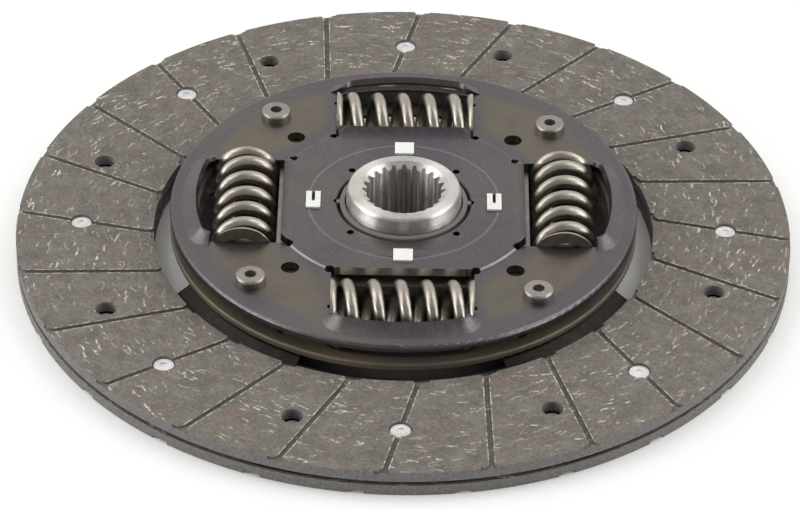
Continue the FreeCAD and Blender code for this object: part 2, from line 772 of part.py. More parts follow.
def hub_flange():
    """The plate between the two plates: windows, stop notches and idle teeth."""
    label = "hub_flange"
    body = new_body(label)
    disc = new_sketch(body, XY, label + "_disc", flange_bottom)
    add_circle(disc, ORIGIN, flange_outer)
    add_circle(disc, ORIGIN, collar_outer + size("collar_clearance"))
    pad(body, disc, label + "_pad", size("flange_thickness"), "flange_thickness")

    through = 2 * size("flange_thickness")
    window = new_sketch(body, XY, label + "_window", flange_top + 1.0)
    inner = spring_circle - size("spring_radius") - size("flange_window_margin")
    radius = window_outer
    side = math.sqrt(radius ** 2 - window_half ** 2)
    corner = size("flange_corner_radius")
    bow = corner * (1 - math.sqrt(0.5))
    add_outline(window, [
        (inner + corner, -window_half), (side, -window_half), (radius, 0, side, window_half),
        (inner + corner, window_half), (inner + bow, window_half - bow, inner, window_half - corner),
        (inner, -window_half + corner), (inner + bow, -window_half + bow, inner + corner, -window_half),
    ])
    window_cut = pocket(body, window, label + "_window_cut", through, True)

    pin_half = math.degrees(math.asin(size("pin_spacer_radius") / pin_circle))
    low = size("pin_angle") - pin_half - size("coast_angle") - size("stop_margin_angle")
    high = size("pin_angle") + pin_half + size("drive_angle") + size("stop_margin_angle")
    floor = stop_notch
    rim = flange_outer + 2.0
    notch = new_sketch(body, XY, label + "_stop_notch", flange_top + 1.0)
    middle = (low + high) / 2
    start, end = at(floor, low), at(rim, low)
    far, back = at(rim, high), at(floor, high)
    rim_mid, floor_mid = at(rim, middle), at(floor, middle)
    add_outline(notch, [(start.x, start.y), (end.x, end.y), (rim_mid.x, rim_mid.y, far.x, far.y),
                        (back.x, back.y), (floor_mid.x, floor_mid.y, start.x, start.y)])
    notch_cut = pocket(body, notch, label + "_stop_notch_cut", through, True)
    pattern(body, [window_cut, notch_cut], label + "_quarters", size("window_count"), "window_count")

    teeth = new_sketch(body, XY, label + "_idle_teeth", flange_bottom)
    half = size("collar_space_angle") / 2 - size("idle_angle") - size("idle_margin_angle")
    tip = collar_root + size("collar_clearance")
    root = collar_outer + 1.5
    for angle in idle_tooth_angles():
        a, b = at(tip, angle - half), at(root, angle - half)
        c, e = at(root, angle + half), at(tip, angle + half)
        b_mid, e_mid = at(root, angle), at(tip, angle)
        add_outline(teeth, [(a.x, a.y), (b.x, b.y), (b_mid.x, b_mid.y, c.x, c.y), (e.x, e.y),
                            (e_mid.x, e_mid.y, a.x, a.y)])
    pad(body, teeth, label + "_idle_teeth_pad", size("flange_thickness"), "flange_thickness")

    pockets = new_sketch(body, XY, label + "_idle_pockets", flange_top + 1.0)
    for side in (-1, 1):
        add_outline(pockets, rectangle(side * collar_root,
                                       side * (collar_outer + pocket_reach),
                                       -pocket_half, pocket_half))
    pocket(body, pockets, label + "_idle_pockets_cut", through, True)
    return body


def idle_tooth_angles():
    """Angles of the flange's teeth in the hub collar's spaces, clear of the pockets."""
    return [side + 45.0 * k for side in (0, 180) for k in (1, 2, 3)]


def coil_spring(length, outer, wire, turns):
    """A compression spring along Z with closed, ground ends.

    Each half turn is a ring arc in a plane tilted by its own rise, so that
    neighbouring arcs meet on one section with one direction. The first and
    last half turns lie nearly flat, and grinding leaves half of their wire.
    """
    mean = outer - wire / 2
    halves = int(round(2 * turns))
    flat_rise = 0.2 * wire
    close_rise = 0.82 * wire
    travel = length + flat_rise
    open_rise = (travel - 2 * (flat_rise + close_rise)) / (halves - 4)
    rises = [flat_rise, close_rise] + [open_rise] * (halves - 4) + [close_rise, flat_rise]
    height = -travel / 2
    pieces = []
    for number, rise in enumerate(rises):
        side = -1 if number % 2 == 0 else 1
        start = Vector(side * mean, 0, height)
        end = Vector(-side * mean, 0, height + rise)
        axis = (end - start).cross(Vector(0, -side, 0))
        section = Part.Face(Part.Wire(Part.Circle(start, Vector(0, 1, 0), wire / 2).toShape()))
        piece = section.revolve((start + end) * 0.5, axis.normalize(), 180)
        if piece.Volume < 0:
            piece.reverse()
        pieces.append(piece)
        height += rise
    room = Part.makeCylinder(outer + wire, length, Vector(0, 0, -length / 2))
    return pieces[0].fuse(pieces[1:]).common(room).Solids[0]


def damper_springs():
    """The four springs, each lying along the tangent in its window."""
    spring = coil_spring(size("spring_length"), size("spring_radius"), size("spring_wire"),
                         size("spring_turns"))
    spring.rotate(ORIGIN, Vector(1, 0, 0), -90)
    spring.translate(Vector(spring_circle, 0, mid))
    for k in range(int(size("window_count"))):
        solid_node("damper_spring_%d" % (k + 1), turned(spring, quarter * k))


def stop_pins():
    """Stop pins: a spacer between the plates, riveted over outside both."""
    spacer = size("pin_spacer_radius")
    tenon = size("pin_tenon_radius")
    head = size("pin_head_radius")
    tail = size("pin_tail_radius")
    edge = size("pin_edge_radius")
    bow = edge * (1 - math.sqrt(0.5))
    dimple = size("pin_dimple_radius")
    upper = mid + plate_half
    top = upper + size("pin_head_height")
    lower = carrier_under - size("sheet_thickness")
    foot = lower - size("pin_tail_height")
    profile = [
        (0, foot), (tail - edge, foot), (tail - bow, foot + bow, tail, foot + edge),
        (tail, lower), (tenon, lower), (tenon, mid - gap_half), (spacer, mid - gap_half),
        (spacer, mid + gap_half), (tenon, mid + gap_half), (tenon, upper), (head, upper),
        (head, top - edge), (head - bow, top - bow, head - edge, top), (dimple, top),
        (0.85 * dimple, top - size("pin_dimple_depth")), (0, top - 1.1 * size("pin_dimple_depth")),
    ]
    place = at(pin_circle, size("pin_angle"))
    for k in range(int(size("window_count"))):
        body = turned_piece("stop_pin_%d" % (k + 1), profile)
        spot = Rotation(Z_AXIS, quarter * k).multVec(place)
        body.Placement = FreeCAD.Placement(spot, Rotation())


def arm_rivets():
    """Rivets of the cushion arms, flush inside the carrier plate."""
    shank = size("arm_rivet_shank_radius")
    head = size("arm_rivet_head_radius")
    under = carrier_under - size("sheet_thickness")
    foot = under - size("arm_rivet_head_height")
    top = mid - gap_half
    curve = Part.Arc(Vector(0, 0, foot), Vector(0.6 * head, 0, foot + 0.18 * size("arm_rivet_head_height")),
                     Vector(head, 0, under - 0.3))
    path = [Vector(head, 0, under - 0.3), Vector(head, 0, under), Vector(shank, 0, under),
            Vector(shank, 0, top), Vector(0, 0, top), Vector(0, 0, foot)]
    lines = Part.makePolygon(path)
    face = Part.Face(Part.Wire([curve.toShape()] + lines.Edges))
    rivet = face.revolve(ORIGIN, Z_AXIS, 360)
    copies = []
    for radius, angle, hole_radius in arm_holes()[1:]:
        placed = rivet.copy()
        placed.translate(at(radius, angle))
        copies += [turned(placed, quarter * k) for k in range(int(size("window_count")))]
    return solid_node("arm_rivets", Part.makeCompound(copies))


# Hub and idle stage

def hub():
    """The splined hub with its toothed collar."""
    label = "hub"
    bottom, top = size("hub_bottom"), size("hub_top")
    outer = size("hub_radius")
    bevel = size("hub_bevel_radius")
    minor = size("spline_minor_radius")
    entry = size("spline_entry_radius")
    collar = collar_outer
    rim = outer - size("hub_taper")
    width = rim - bevel
    bow = 1 - math.sqrt(0.5)
    profile = [
        (minor, bottom + 1.0), (minor + 1.0, bottom), (outer - 0.8, bottom), (outer, bottom + 0.8),
        (outer, flange_bottom), (collar, flange_bottom), (collar, flange_top), (outer, flange_top),
        (outer, top - size("hub_taper_height")), (rim, top - size("hub_bevel_height")),
        (rim - bow * width, top - bow * size("hub_bevel_height"), bevel, top), (entry, top),
        (minor, top - size("spline_entry_depth")),
    ]
    body = turned_piece(label, profile)
    space = new_sketch(body, XY, label + "_spline_space", top + 1.0)
    wide, narrow = size("spline_space_inner") / 2, size("spline_space_outer") / 2
    major = size("spline_major_radius")
    add_outline(space, [(minor - 1.0, -wide), (minor, -wide), (major, -narrow),
                        (major, narrow), (minor, wide), (minor - 1.0, wide)])
    cut = pocket(body, space, label + "_spline_cut", top + 2.0, True)
    pattern(body, [cut], label + "_spline", size("spline_teeth"), "spline_teeth")

    gaps = new_sketch(body, XY, label + "_collar_spaces", flange_top)
    half = size("collar_space_angle") / 2
    floor = collar_root
    rim = collar + 1.0
    for angle in idle_tooth_angles():
        a, b = at(floor, angle - half), at(rim, angle - half)
        c, e = at(rim, angle + half), at(floor, angle + half)
        b_mid, e_mid = at(rim, angle), at(floor, angle)
        add_outline(gaps, [(a.x, a.y), (b.x, b.y), (b_mid.x, b_mid.y, c.x, c.y), (e.x, e.y),
                           (e_mid.x, e_mid.y, a.x, a.y)])
    for side in (-1, 1):
        add_outline(gaps, rectangle(side * (collar - pocket_reach), side * (collar + 1.0),
                                    -pocket_half, pocket_half))
    pocket(body, gaps, label + "_collar_spaces_cut", size("flange_thickness"), True)
    return body


def idle_springs():
    """The two small springs between hub collar and hub flange."""
    spring = coil_spring(size("idle_spring_length"), size("idle_spring_radius"),
                         size("idle_spring_wire"), size("idle_spring_turns"))
    spring.rotate(ORIGIN, Vector(1, 0, 0), -90)
    spring.translate(Vector(collar_outer, 0, mid))
    for k in (0, 1):
        solid_node("idle_spring_%d" % (k + 1), turned(spring, 180.0 * k))


# Bushes and friction device

def gearbox_bush():
    """The collar ring round the hub, with two lugs in the plate's bore."""
    bore = size("hub_radius") + size("running_clearance")
    play = size("ring_play")
    low = flange_top + play
    ceiling = mid + gap_half + size("centre_rise") - play
    sleeve = bush_sleeve
    mouth = size("hub_radius") + size("bush_mouth_clearance")
    top = size("bush_top")
    label = "gearbox_bush"
    body = turned_piece(label, [
        (bore, low), (bush_flange, low), (bush_flange, ceiling),
        (sleeve, ceiling), (sleeve, top - 0.3), (sleeve - 0.3, top), (mouth, top),
        (mouth, ceiling + 1.0), (bore, ceiling + 0.6),
    ])
    lugs = new_sketch(body, XY, label + "_lugs", ceiling)
    half = size("bush_lug_width") / 2
    reach = sleeve + size("bush_lug_reach")
    for side in (-1, 1):
        add_outline(lugs, [(side * (sleeve - 0.4), -half), (side * (reach - half), -half),
                           (side * reach, 0, side * (reach - half), half),
                           (side * (sleeve - 0.4), half)])
    pad(body, lugs, label + "_lugs_pad", top - 0.4 - ceiling)
    return body


def flywheel_bush():
    """The flanged bush that carries the hub in the carrier plate."""
    bore = size("hub_radius") + size("running_clearance")
    play = size("ring_play")
    top = flange_bottom - play
    shoulder = top - size("flywheel_bush_flange_height")
    sleeve = plate_bore - size("running_clearance")
    foot = carrier_under - size("dish_depth") - 0.4
    return turned_piece("flywheel_bush", [
        (bore, foot + 0.4), (bore + 0.4, foot), (sleeve, foot), (sleeve, shoulder),
        (flywheel_flange, shoulder),
        (flywheel_flange, top), (bore, top),
    ])


def tab_ring():
    """White plastic ring on the flange, its four tabs up through the plate."""
    label = "tab_ring"
    play = size("ring_play")
    low = flange_top + play
    height = gap_half + size("centre_rise") - flange_half - 2 * play
    rise = size("tab_top") - low
    body = new_body(label)
    ring = new_sketch(body, XY, label + "_ring", low)
    add_circle(ring, ORIGIN, tab_ring_outer)
    add_circle(ring, ORIGIN, tab_ring_inner)
    pad(body, ring, label + "_pad", height)
    tabs = new_sketch(body, XY, label + "_tabs", low)
    centre = tab_circle
    for side in (-1, 1):
        near, far = centre - size("plain_tab_depth") / 2, centre + size("plain_tab_depth") / 2
        half = size("plain_tab_width") / 2
        add_outline(tabs, rectangle(-half, half, side * near, side * far))
        near, far = centre - size("hook_tab_depth") / 2, centre + size("hook_tab_depth") / 2
        half = size("hook_tab_width") / 2
        add_outline(tabs, rectangle(side * near, side * far, -half, half))
    pad(body, tabs, label + "_tabs_pad", rise)
    slots = new_sketch(body, XY, label + "_hook_slots", size("tab_top") + 1.0)
    slot = size("hook_slot_width") / 2
    start = size("hook_tab_width") / 2 - size("hook_slot_length")
    for side in (-1, 1):
        middle = side * centre
        add_outline(slots, rectangle(middle - slot, middle + slot, start,
                                     size("hook_tab_width") / 2 + 1.0))
    pocket(body, slots, label + "_hook_slots_cut", 1.0 + size("tab_top") - low - height, True)
    return body


def friction_device():
    """Friction ring, support ring and diaphragm spring in the carrier's dish."""
    play = size("ring_play")
    inner, outer = friction_inner, friction_outer
    top = flange_bottom - play
    low = top - size("friction_ring_height")
    turned_piece("friction_ring", rectangle(inner, outer, low, top))
    support_top = low - play
    support_low = support_top - size("support_ring_height")
    turned_piece("support_ring", rectangle(inner, outer, support_low, support_top))
    floor = carrier_under - size("dish_depth") + size("plate_thickness") + play
    ceiling = support_low - play
    thickness = size("diaphragm_thickness")
    turned_piece("diaphragm_spring", [
        (outer, floor), (outer, floor + thickness), (inner, ceiling), (inner, ceiling - thickness),
    ])


def build():
    """Make every piece of the disc."""
    lower_phase = -size("rivet_pair_angle")
    upper_bottom = size("facing_thickness") + size("facing_gap")
    facing("facing_gearbox_side", upper_bottom, 0.0, True)
    facing("facing_flywheel_side", 0.0, lower_phase, False)
    facing_rivets("facing_rivets_gearbox", 0.0, True)
    facing_rivets("facing_rivets_flywheel", lower_phase, False)
    cushion_disc()
    retainer_plate()
    carrier_plate()
    hub_flange()
    damper_springs()
    stop_pins()
    arm_rivets()
    hub()
    idle_springs()
    gearbox_bush()
    flywheel_bush()
    tab_ring()
    friction_device()


def check():
    """Stop if any object failed or any piece isn't a sound solid."""
    for item in doc.Objects:
        for state in ("Invalid", "Error"):
            if state in item.State:
                raise RuntimeError("%s is %s" % (item.Label, item.State))
    for node in nodes:
        if node.Shape.isNull() or not node.Shape.isValid() or not node.Shape.Solids:
            raise RuntimeError("%s has no sound solid" % node.Label)


def write():
    """Write each piece to its own file."""
    os.makedirs("parts", exist_ok=True)
    for node in nodes:
        node.Shape.exportStep(os.path.join("parts", node.Label + ".step"))
        box = node.Shape.BoundBox
        print("%-24s solids %2d volume %9.1f z %6.2f to %6.2f" % (
            node.Label, len(node.Shape.Solids), node.Shape.Volume, box.ZMin, box.ZMax))


build()
doc.recompute()
check()
write()
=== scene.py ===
"""Clutch disc on a pale table: finishes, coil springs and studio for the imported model.

Lengths are in metres, and in millimetres where a name ends in _mm. The origin is on the
hub axis in the lower friction face, and +Z points to the gearbox side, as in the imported
model.
"""

import logging
import math
from dataclasses import dataclass, field
from enum import Enum
from typing import Any

import bpy
from mathutils import Matrix, Vector


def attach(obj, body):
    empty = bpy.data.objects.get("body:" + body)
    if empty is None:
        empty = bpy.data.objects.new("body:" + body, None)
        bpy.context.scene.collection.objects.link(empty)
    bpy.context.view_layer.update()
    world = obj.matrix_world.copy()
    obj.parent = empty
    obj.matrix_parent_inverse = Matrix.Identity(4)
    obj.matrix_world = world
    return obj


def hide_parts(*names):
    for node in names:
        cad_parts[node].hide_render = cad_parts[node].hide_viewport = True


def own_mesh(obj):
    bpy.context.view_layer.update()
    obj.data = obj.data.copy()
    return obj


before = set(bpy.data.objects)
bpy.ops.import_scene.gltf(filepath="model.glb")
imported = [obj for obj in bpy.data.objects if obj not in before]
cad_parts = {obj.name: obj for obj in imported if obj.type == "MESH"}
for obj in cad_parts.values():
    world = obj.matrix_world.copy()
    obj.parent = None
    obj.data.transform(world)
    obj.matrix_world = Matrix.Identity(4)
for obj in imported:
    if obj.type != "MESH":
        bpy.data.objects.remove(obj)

MM = 0.001
LOG = logging.getLogger("clutch_disc")
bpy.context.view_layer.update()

Tree = bpy.types.NodeTree
Node = bpy.types.Node
Socket = bpy.types.NodeSocket
Pair = tuple[float, float]
Triple = tuple[float, float, float]

# Sockets go by number where their names repeat. A range reads its value at 0 between 1 and 2,
# and gives 3 to 4. A colour mix has its share at 0, its colours at 6 and 7, its result at 2.
MATH = "ShaderNodeMath"
VECTOR_MATH = "ShaderNodeVectorMath"
RANGE = "ShaderNodeMapRange"
MIX = "ShaderNodeMix"
SEPARATE = "ShaderNodeSeparateXYZ"
COMBINE = "ShaderNodeCombineXYZ"
ROTATE = "ShaderNodeVectorRotate"
BUMP = "ShaderNodeBump"
MOVE = "GeometryNodeSetPosition"
SMOOTH = "GeometryNodeSetShadeSmooth"

# Most of the noise lies between these values
NOISE_SPAN = (0.3, 0.7)
FULL = (0.0, 1.0)
# A place times this has lost its height
LEVEL = (1, 1, 0)


def linear(code: str) -> tuple[float, float, float, float]:
    """Turn an sRGB hex colour to linear light.

    Args:
        code: Colour as "#RRGGBB".

    Returns:
        Red, green, blue and an alpha of 1.
    """
    parts = [int(code[k:k + 2], 16) / 255 for k in (1, 3, 5)]
    lit = [c / 12.92 if c <= 0.04045 else ((c + 0.055) / 1.055) ** 2.4 for c in parts]
    return (lit[0], lit[1], lit[2], 1.0)


def add(tree: Tree, kind: str, inputs: dict | None = None, **settings: Any) -> Node:
    """Add a node with its settings, values and links.

    Args:
        tree: Node tree that gets the node.
        kind: Node type, as bpy names it.
        inputs: Value or output socket for each input, by name or number.
        **settings: Properties of the node.

    Returns:
        The new node.
    """
    node = tree.nodes.new(kind)
    for name, value in settings.items():
        setattr(node, name, value)
    for key, value in (inputs or {}).items():
        if isinstance(value, Socket):
            tree.links.new(value, node.inputs[key])
        else:
            node.inputs[key].default_value = value
    return node


class Body(Enum):
    """The bodies that turn against each other."""

    DISC = "disc"
    FLANGE = "flange"
    HUB = "hub"


@dataclass(frozen=True)
class Finish:
    """A surface: what it is made of and how it was worked."""

    label: str
    roughness: float = 0.5
    metallic: float = 0.0
    ior: float = 1.5

    def material(self) -> bpy.types.Material:
        """Make the material.

        Returns:
            A node material with colour, roughness and bump.
        """
        made = bpy.data.materials.new(self.label)
        made.use_nodes = True
        tree = made.node_tree
        tree.nodes.clear()
        shader = add(tree, "ShaderNodeBsdfPrincipled",
                     {"Roughness": self.roughness, "Metallic": self.metallic, "IOR": self.ior})
        add(tree, "ShaderNodeOutputMaterial", {"Surface": shader.outputs[0]})
        self.paint(tree, shader)
        return made

    def paint(self, tree: Tree, shader: Node) -> None:
        """Give the shader its patterns."""
        raise NotImplementedError

    @staticmethod
    def millimetres(tree: Tree) -> Socket:
        """Return the object's own coordinates in millimetres."""
        where = add(tree, "ShaderNodeTexCoord").outputs["Object"]
        return add(tree, VECTOR_MATH, {0: where, "Scale": 1 / MM}, operation="SCALE").outputs[0]

    @staticmethod
    def radius(tree: Tree, where: Socket) -> Socket:
        """Return the distance of a place from the hub axis, in the place's own unit."""
        level = add(tree, VECTOR_MATH, {0: where, 1: LEVEL}, operation="MULTIPLY").outputs[0]
        return add(tree, VECTOR_MATH, {0: level}, operation="LENGTH").outputs["Value"]

    @staticmethod
    def flatness(tree: Tree) -> Socket:
        """Measure how flat a face lies.

        Args:
            tree: Tree of the material.

        Returns:
            1 on a face that lies flat and 0 on an upright wall.
        """
        facing = add(tree, "ShaderNodeNewGeometry").outputs["True Normal"]
        upward = add(tree, SEPARATE, {0: facing}).outputs[2]
        return add(tree, MATH, {0: upward}, operation="ABSOLUTE").outputs[0]

    @staticmethod
    def grain(tree: Tree, where: Socket, size_mm: float, span: Pair,
              detail: float = 3.0) -> Socket:
        """Make a noise of a real size.

        Args:
            tree: Tree of the material.
            where: Coordinates in millimetres.
            size_mm: Width of one blotch.
            span: Results where the noise is weak and where it is strong.
            detail: Octaves of finer noise.

        Returns:
            A value within the span.
        """
        noise = add(tree, "ShaderNodeTexNoise",
                    {"Vector": where, "Scale": 1 / size_mm, "Detail": detail}).outputs["Fac"]
        return add(tree, RANGE, {0: noise, 1: NOISE_SPAN[0], 2: NOISE_SPAN[1],
                                 3: span[0], 4: span[1]}).outputs[0]


@dataclass(frozen=True)
class Cloud:
    """A slow tint in the lining: its colour, its size and a shift that sets it apart."""

    colour: str
    size_mm: float
    shift_mm: float


@dataclass(frozen=True)
class FibreLining(Finish):
    """Friction lining: resin with glass and brass fibre, moulded and ground flat."""

    resin: str = "#645F59"
    pale: str = "#78736C"
    tone_mm: float = 5.0
    clouds: tuple[Cloud, ...] = (Cloud("#77665E", 6.5, 40.0), Cloud("#6B6B62", 8.0, 90.0))
    cloud_span: Pair = (-0.6, 0.55)
    speck_mm: float = 0.8
    speck_span: Pair = (0.74, 1.22)

    fibre: str = "#DED7C8"
    fibre_share: float = 0.85
    layers: int = 5
    layer_shift_mm: Pair = (137.3, -91.7)
    cell_mm: float = 8.0
    width_mm: float = 0.38
    core_share: float = 0.35
    half_span_mm: Pair = (0.4, 2.4)
    tip_mm: float = 0.5
    lean_span: Pair = (-2.0, -1.15)
    bend_span: Pair = (-0.14, 0.14)
    depth_span: Pair = (0.35, 1.0)
    torn_mm: float = 0.9
    torn_span: Pair = (-0.2, 1.3)
    patch_mm: float = 11.0
    patch_span: Pair = (-0.2, 1.5)

    groove_pitch: float = 15.0
    groove_tilt: float = 13.0
    groove_circle_mm: float = 100.0
    groove_width_mm: float = 1.6
    rim_shift_mm: float = 0.1
    rim_span_mm: Pair = (0.05, 0.3)
    chip_mm: float = 1.3
    chip_span: Pair = (-0.6, 1.3)
    upper_mm: float = 8.0

    wall: str = "#747170"
    flat_span: Pair = (0.4, 0.8)
    pore_mm: float = 0.5
    fibre_rise: float = 0.6
    bump_strength: float = 0.5
    bump_mm: float = 0.12

    def layer(self, tree: Tree, flat: Socket, shift: Triple) -> Socket:
        """Draw one layer of fibres, one in each cell of a random pattern.

        Args:
            tree: Tree of the material.
            flat: Coordinates in millimetres, without height.
            shift: How far the pattern is moved, so that the layers differ.

        Returns:
            Up to 1 on a fibre and 0 beside it.
        """
        moved = add(tree, VECTOR_MATH, {0: flat, 1: shift}).outputs[0]
        cells = add(tree, "ShaderNodeTexVoronoi", {"Vector": moved, "Scale": 1 / self.cell_mm},
                    voronoi_dimensions="2D").outputs
        chance = add(tree, "ShaderNodeSeparateColor", {0: cells["Color"]}).outputs
        middle = add(tree, VECTOR_MATH, {0: cells["Position"], 1: shift},
                     operation="SUBTRACT").outputs[0]

        # Each fibre leans a little from the circumference at its own middle
        seat = add(tree, SEPARATE, {0: middle}).outputs
        round_angle = add(tree, MATH, {0: seat[1], 1: seat[0]}, operation="ARCTAN2").outputs[0]
        lean = add(tree, RANGE, {0: chance[0], 3: self.lean_span[0],
                                 4: self.lean_span[1]}).outputs[0]
        turn = add(tree, MATH, {0: round_angle, 1: lean}, operation="SUBTRACT").outputs[0]
        back = add(tree, MATH, {0: turn, 1: -1}, operation="MULTIPLY").outputs[0]
        gap = add(tree, VECTOR_MATH, {0: flat, 1: middle}, operation="SUBTRACT").outputs[0]
        local = add(tree, ROTATE, {"Vector": gap, "Angle": back},
                    rotation_type="Z_AXIS").outputs[0]
        run = add(tree, SEPARATE, {0: local}).outputs
        along = add(tree, MATH, {0: run[0]}, operation="ABSOLUTE").outputs[0]

        # A bent line, faded at its ends and its sides
        bend = add(tree, RANGE, {0: chance[2], 3: self.bend_span[0],
                                 4: self.bend_span[1]}).outputs[0]
        square = add(tree, MATH, {0: along, 1: along}, operation="MULTIPLY").outputs[0]
        curved = add(tree, MATH, {0: square, 1: bend, 2: run[1]},
                     operation="MULTIPLY_ADD").outputs[0]
        across = add(tree, MATH, {0: curved}, operation="ABSOLUTE").outputs[0]
        half = add(tree, RANGE, {0: chance[1], 3: self.half_span_mm[0],
                                 4: self.half_span_mm[1]}).outputs[0]
        ends = add(tree, MATH, {0: half, 1: along}, operation="SUBTRACT").outputs[0]
        tip = add(tree, RANGE, {0: ends, 1: 0.0, 2: self.tip_mm}).outputs[0]
        side = add(tree, RANGE, {0: across, 1: self.width_mm * self.core_share,
                                 2: self.width_mm, 3: 1.0, 4: 0.0}).outputs[0]
        depth = add(tree, RANGE, {0: chance[0], 3: self.depth_span[0],
                                  4: self.depth_span[1]}).outputs[0]
        body = add(tree, MATH, {0: tip, 1: side}, operation="MULTIPLY").outputs[0]
        return add(tree, MATH, {0: body, 1: depth}, operation="MULTIPLY").outputs[0]

    def strokes(self, tree: Tree, where: Socket) -> Socket:
        """Draw short fibres that lie along the circumference.

        Args:
            tree: Tree of the material.
            where: Coordinates in millimetres.

        Returns:
            1 on a fibre and 0 beside it.
        """
        flat = add(tree, VECTOR_MATH, {0: where, 1: LEVEL}, operation="MULTIPLY").outputs[0]
        total = None
        for number in range(self.layers):
            shift = (number * self.layer_shift_mm[0], number * self.layer_shift_mm[1], 0)
            there = self.layer(tree, flat, shift)
            total = there if total is None else add(tree, MATH, {0: total, 1: there},
                                                    operation="MAXIMUM").outputs[0]
        torn = self.grain(tree, where, self.torn_mm, self.torn_span)
        patchy = self.grain(tree, where, self.patch_mm, self.patch_span, detail=1.0)
        seen = add(tree, MATH, {0: total, 1: torn}, operation="MULTIPLY").outputs[0]
        return add(tree, MATH, {0: seen, 1: patchy}, operation="MULTIPLY",
                   use_clamp=True).outputs[0]

    def chipped_rims(self, tree: Tree, where: Socket) -> Socket:
        """Find the pale, chipped rims of the grooves in the upper face.

        Args:
            tree: Tree of the material.
            where: Coordinates in millimetres.

        Returns:
            1 on a chip of the rim and 0 elsewhere.
        """
        seat = add(tree, SEPARATE, {0: where}).outputs
        pitch = math.radians(self.groove_pitch)
        tilt = math.radians(self.groove_tilt)

        # Turn the nearest groove to the X axis, and measure the distance from its middle line
        round_angle = add(tree, MATH, {0: seat[1], 1: seat[0]}, operation="ARCTAN2").outputs[0]
        middle = add(tree, MATH, {0: round_angle, 1: pitch / 2}, operation="ADD").outputs[0]
        nearest = add(tree, MATH, {0: middle, 1: pitch}, operation="SNAP").outputs[0]
        back = add(tree, MATH, {0: nearest, 1: -1.0}, operation="MULTIPLY").outputs[0]
        local = add(tree, ROTATE, {"Vector": where, "Angle": back},
                    rotation_type="Z_AXIS").outputs[0]
        moved = add(tree, VECTOR_MATH, {0: local, 1: (-self.groove_circle_mm, 0, 0)}).outputs[0]
        across = add(tree, VECTOR_MATH, {0: moved, 1: (math.sin(tilt), math.cos(tilt), 0)},
                     operation="DOT_PRODUCT").outputs["Value"]
        apart = add(tree, MATH, {0: across}, operation="ABSOLUTE").outputs[0]
        off = add(tree, MATH, {0: apart, 1: self.groove_width_mm / 2 + self.rim_shift_mm},
                  operation="SUBTRACT").outputs[0]
        near = add(tree, MATH, {0: off}, operation="ABSOLUTE").outputs[0]

        rim = add(tree, RANGE, {0: near, 1: self.rim_span_mm[0], 2: self.rim_span_mm[1],
                                3: 1.0, 4: 0.0}).outputs[0]
        chips = self.grain(tree, where, self.chip_mm, self.chip_span, detail=2.0)
        upper = add(tree, MATH, {0: seat[2], 1: self.upper_mm},
                    operation="GREATER_THAN").outputs[0]
        found = add(tree, MATH, {0: rim, 1: chips}, operation="MULTIPLY",
                    use_clamp=True).outputs[0]
        return add(tree, MATH, {0: found, 1: upper}, operation="MULTIPLY").outputs[0]

    def paint(self, tree: Tree, shader: Node) -> None:
        """Give the ground face its fibres and blotches, and the edge a plainer grey.

        Args:
            tree: Tree of the material.
            shader: Its surface shader.
        """
        where = self.millimetres(tree)
        blotch = self.grain(tree, where, self.tone_mm, FULL)
        tone = add(tree, MIX, {0: blotch, 6: linear(self.resin), 7: linear(self.pale)},
                   data_type="RGBA").outputs[2]
        for cloud in self.clouds:
            shift = (cloud.shift_mm, cloud.shift_mm, 0)
            moved = add(tree, VECTOR_MATH, {0: where, 1: shift}).outputs[0]
            share = self.grain(tree, moved, cloud.size_mm, self.cloud_span)
            tone = add(tree, MIX, {0: share, 6: tone, 7: linear(cloud.colour)},
                       data_type="RGBA").outputs[2]
        speck = self.grain(tree, where, self.speck_mm, self.speck_span, detail=2.0)
        speckled = add(tree, VECTOR_MATH, {0: tone, "Scale": speck}, operation="SCALE").outputs[0]
        fibres = self.strokes(tree, where)
        chips = self.chipped_rims(tree, where)
        pale = add(tree, MATH, {0: fibres, 1: chips}, operation="MAXIMUM").outputs[0]
        faint = add(tree, MATH, {0: pale, 1: self.fibre_share}, operation="MULTIPLY").outputs[0]
        face = add(tree, MIX, {0: faint, 6: speckled, 7: linear(self.fibre)},
                   data_type="RGBA").outputs[2]
        edge = add(tree, VECTOR_MATH, {0: linear(self.wall)[:3], "Scale": speck},
                   operation="SCALE").outputs[0]
        top = add(tree, RANGE, {0: self.flatness(tree), 1: self.flat_span[0],
                                2: self.flat_span[1]}).outputs[0]
        colour = add(tree, MIX, {0: top, 6: edge, 7: face}, data_type="RGBA").outputs[2]
        tree.links.new(colour, shader.inputs["Base Color"])
        pores = self.grain(tree, where, self.pore_mm, FULL, detail=4.0)
        raised = add(tree, MATH, {0: fibres, 1: self.fibre_rise, 2: pores},
                     operation="MULTIPLY_ADD").outputs[0]
        bump = add(tree, BUMP, {"Strength": self.bump_strength, "Distance": self.bump_mm * MM,
                                "Height": raised}).outputs[0]
        tree.links.new(bump, shader.inputs["Normal"])


